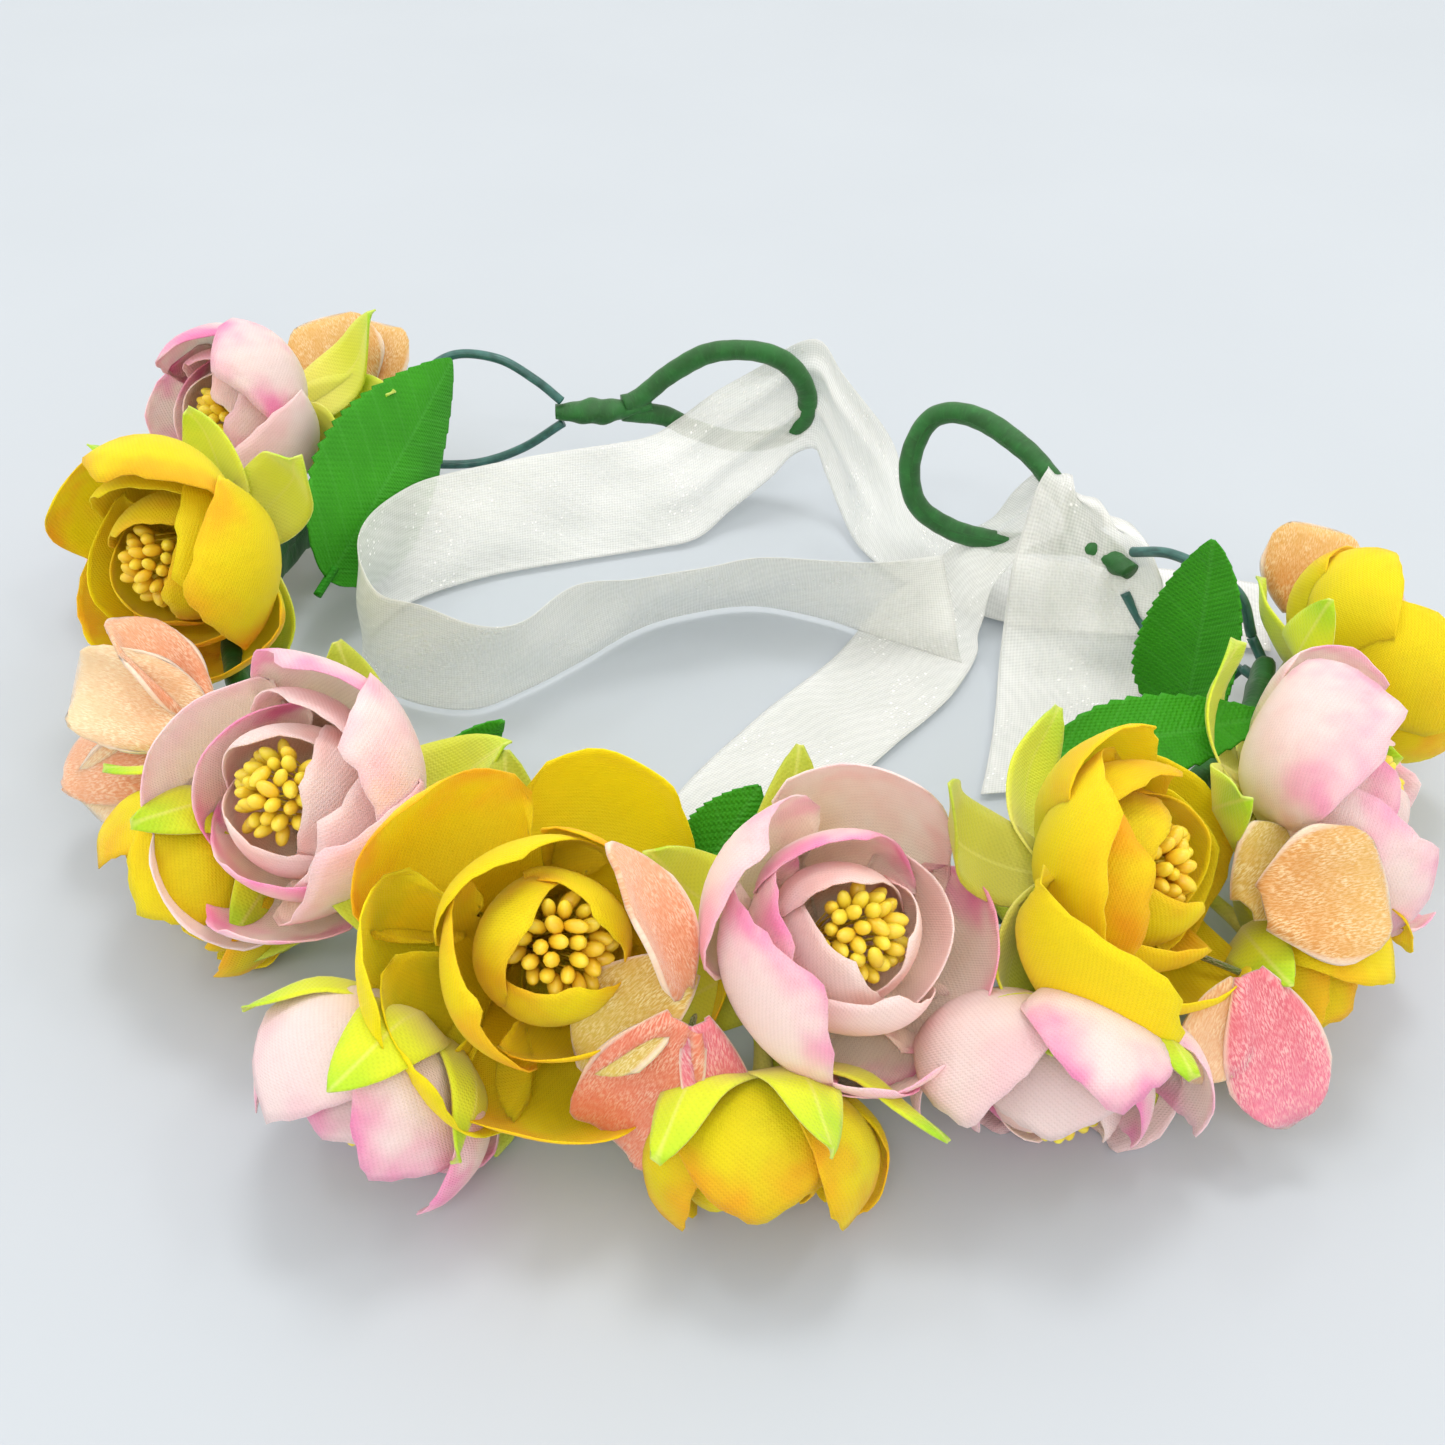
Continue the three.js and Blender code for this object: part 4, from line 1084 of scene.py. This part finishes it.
def stage_floor():
    mesh = bpy.data.meshes.new("table_top")
    half = 3.0
    square = [(-half, -half, 0), (half, -half, 0), (half, half, 0), (-half, half, 0)]
    mesh.from_pydata(square, [], [(0, 1, 2, 3)])
    m = Surface("table_top_paint", Roughness=0.75)
    place = m.node("TexCoord", {}).outputs["Object"]
    base = m.mix(m.noise(place, 9.0, 3.0), "b9c1c9", "bfc7cf")
    mesh.materials.append(m.finish(base, m.noise(place, 700.0), 0.05, 0.05 * MM))
    add_object("table_top", mesh)


def area_light(name, place, size, power, tint):
    """A round panel that faces the origin."""
    data = bpy.data.lights.new(name, "AREA")
    data.shape = "DISK"
    data.size = size
    data.energy = power
    data.color = tint
    obj = add_object(name, data)
    obj.location = place
    away = np.negative(place)
    obj.rotation_euler = (math.acos(-unit(away)[2]), 0, math.atan2(away[0], -away[1]))


stage_floor()
area_light("ceiling_panel", (0.1, 0.3, 1.1), 0.35, 3.2, (1.0, 0.98, 0.96))
area_light("left_panel", (-0.6, 0.2, 0.9), 0.25, 2.1, (0.97, 0.98, 1.0))
area_light("right_panel", (0.6, 0.0, 0.9), 0.25, 2.1, (1.0, 0.98, 0.97))
area_light("front_panel", (-0.1, -0.75, 0.95), 0.45, 7.6, (1.0, 0.99, 0.98))

world = bpy.data.worlds.new("soft_room")
world.use_nodes = True
background = world.node_tree.nodes["Background"]
background.inputs["Color"].default_value = (1.0, 0.97, 0.925, 1)
background.inputs["Strength"].default_value = 1.12
scene.world = world
scene.view_settings.view_transform = "Standard"

FIELD_OF_VIEW, CAMERA_PITCH = 50.0, 42.0  # in degrees

camera_data = bpy.data.cameras.new("camera")
camera_data.sensor_width = 36.0
camera_data.lens = camera_data.sensor_width / 2 / math.tan(math.radians(FIELD_OF_VIEW / 2))
camera_data.clip_start = 0.01
camera = add_object("camera", camera_data)
camera.location = (0.0005, -0.2176, 0.2041)
camera.rotation_euler = (math.radians(90.0 - CAMERA_PITCH), 0.0, 0.0)
scene.camera = camera
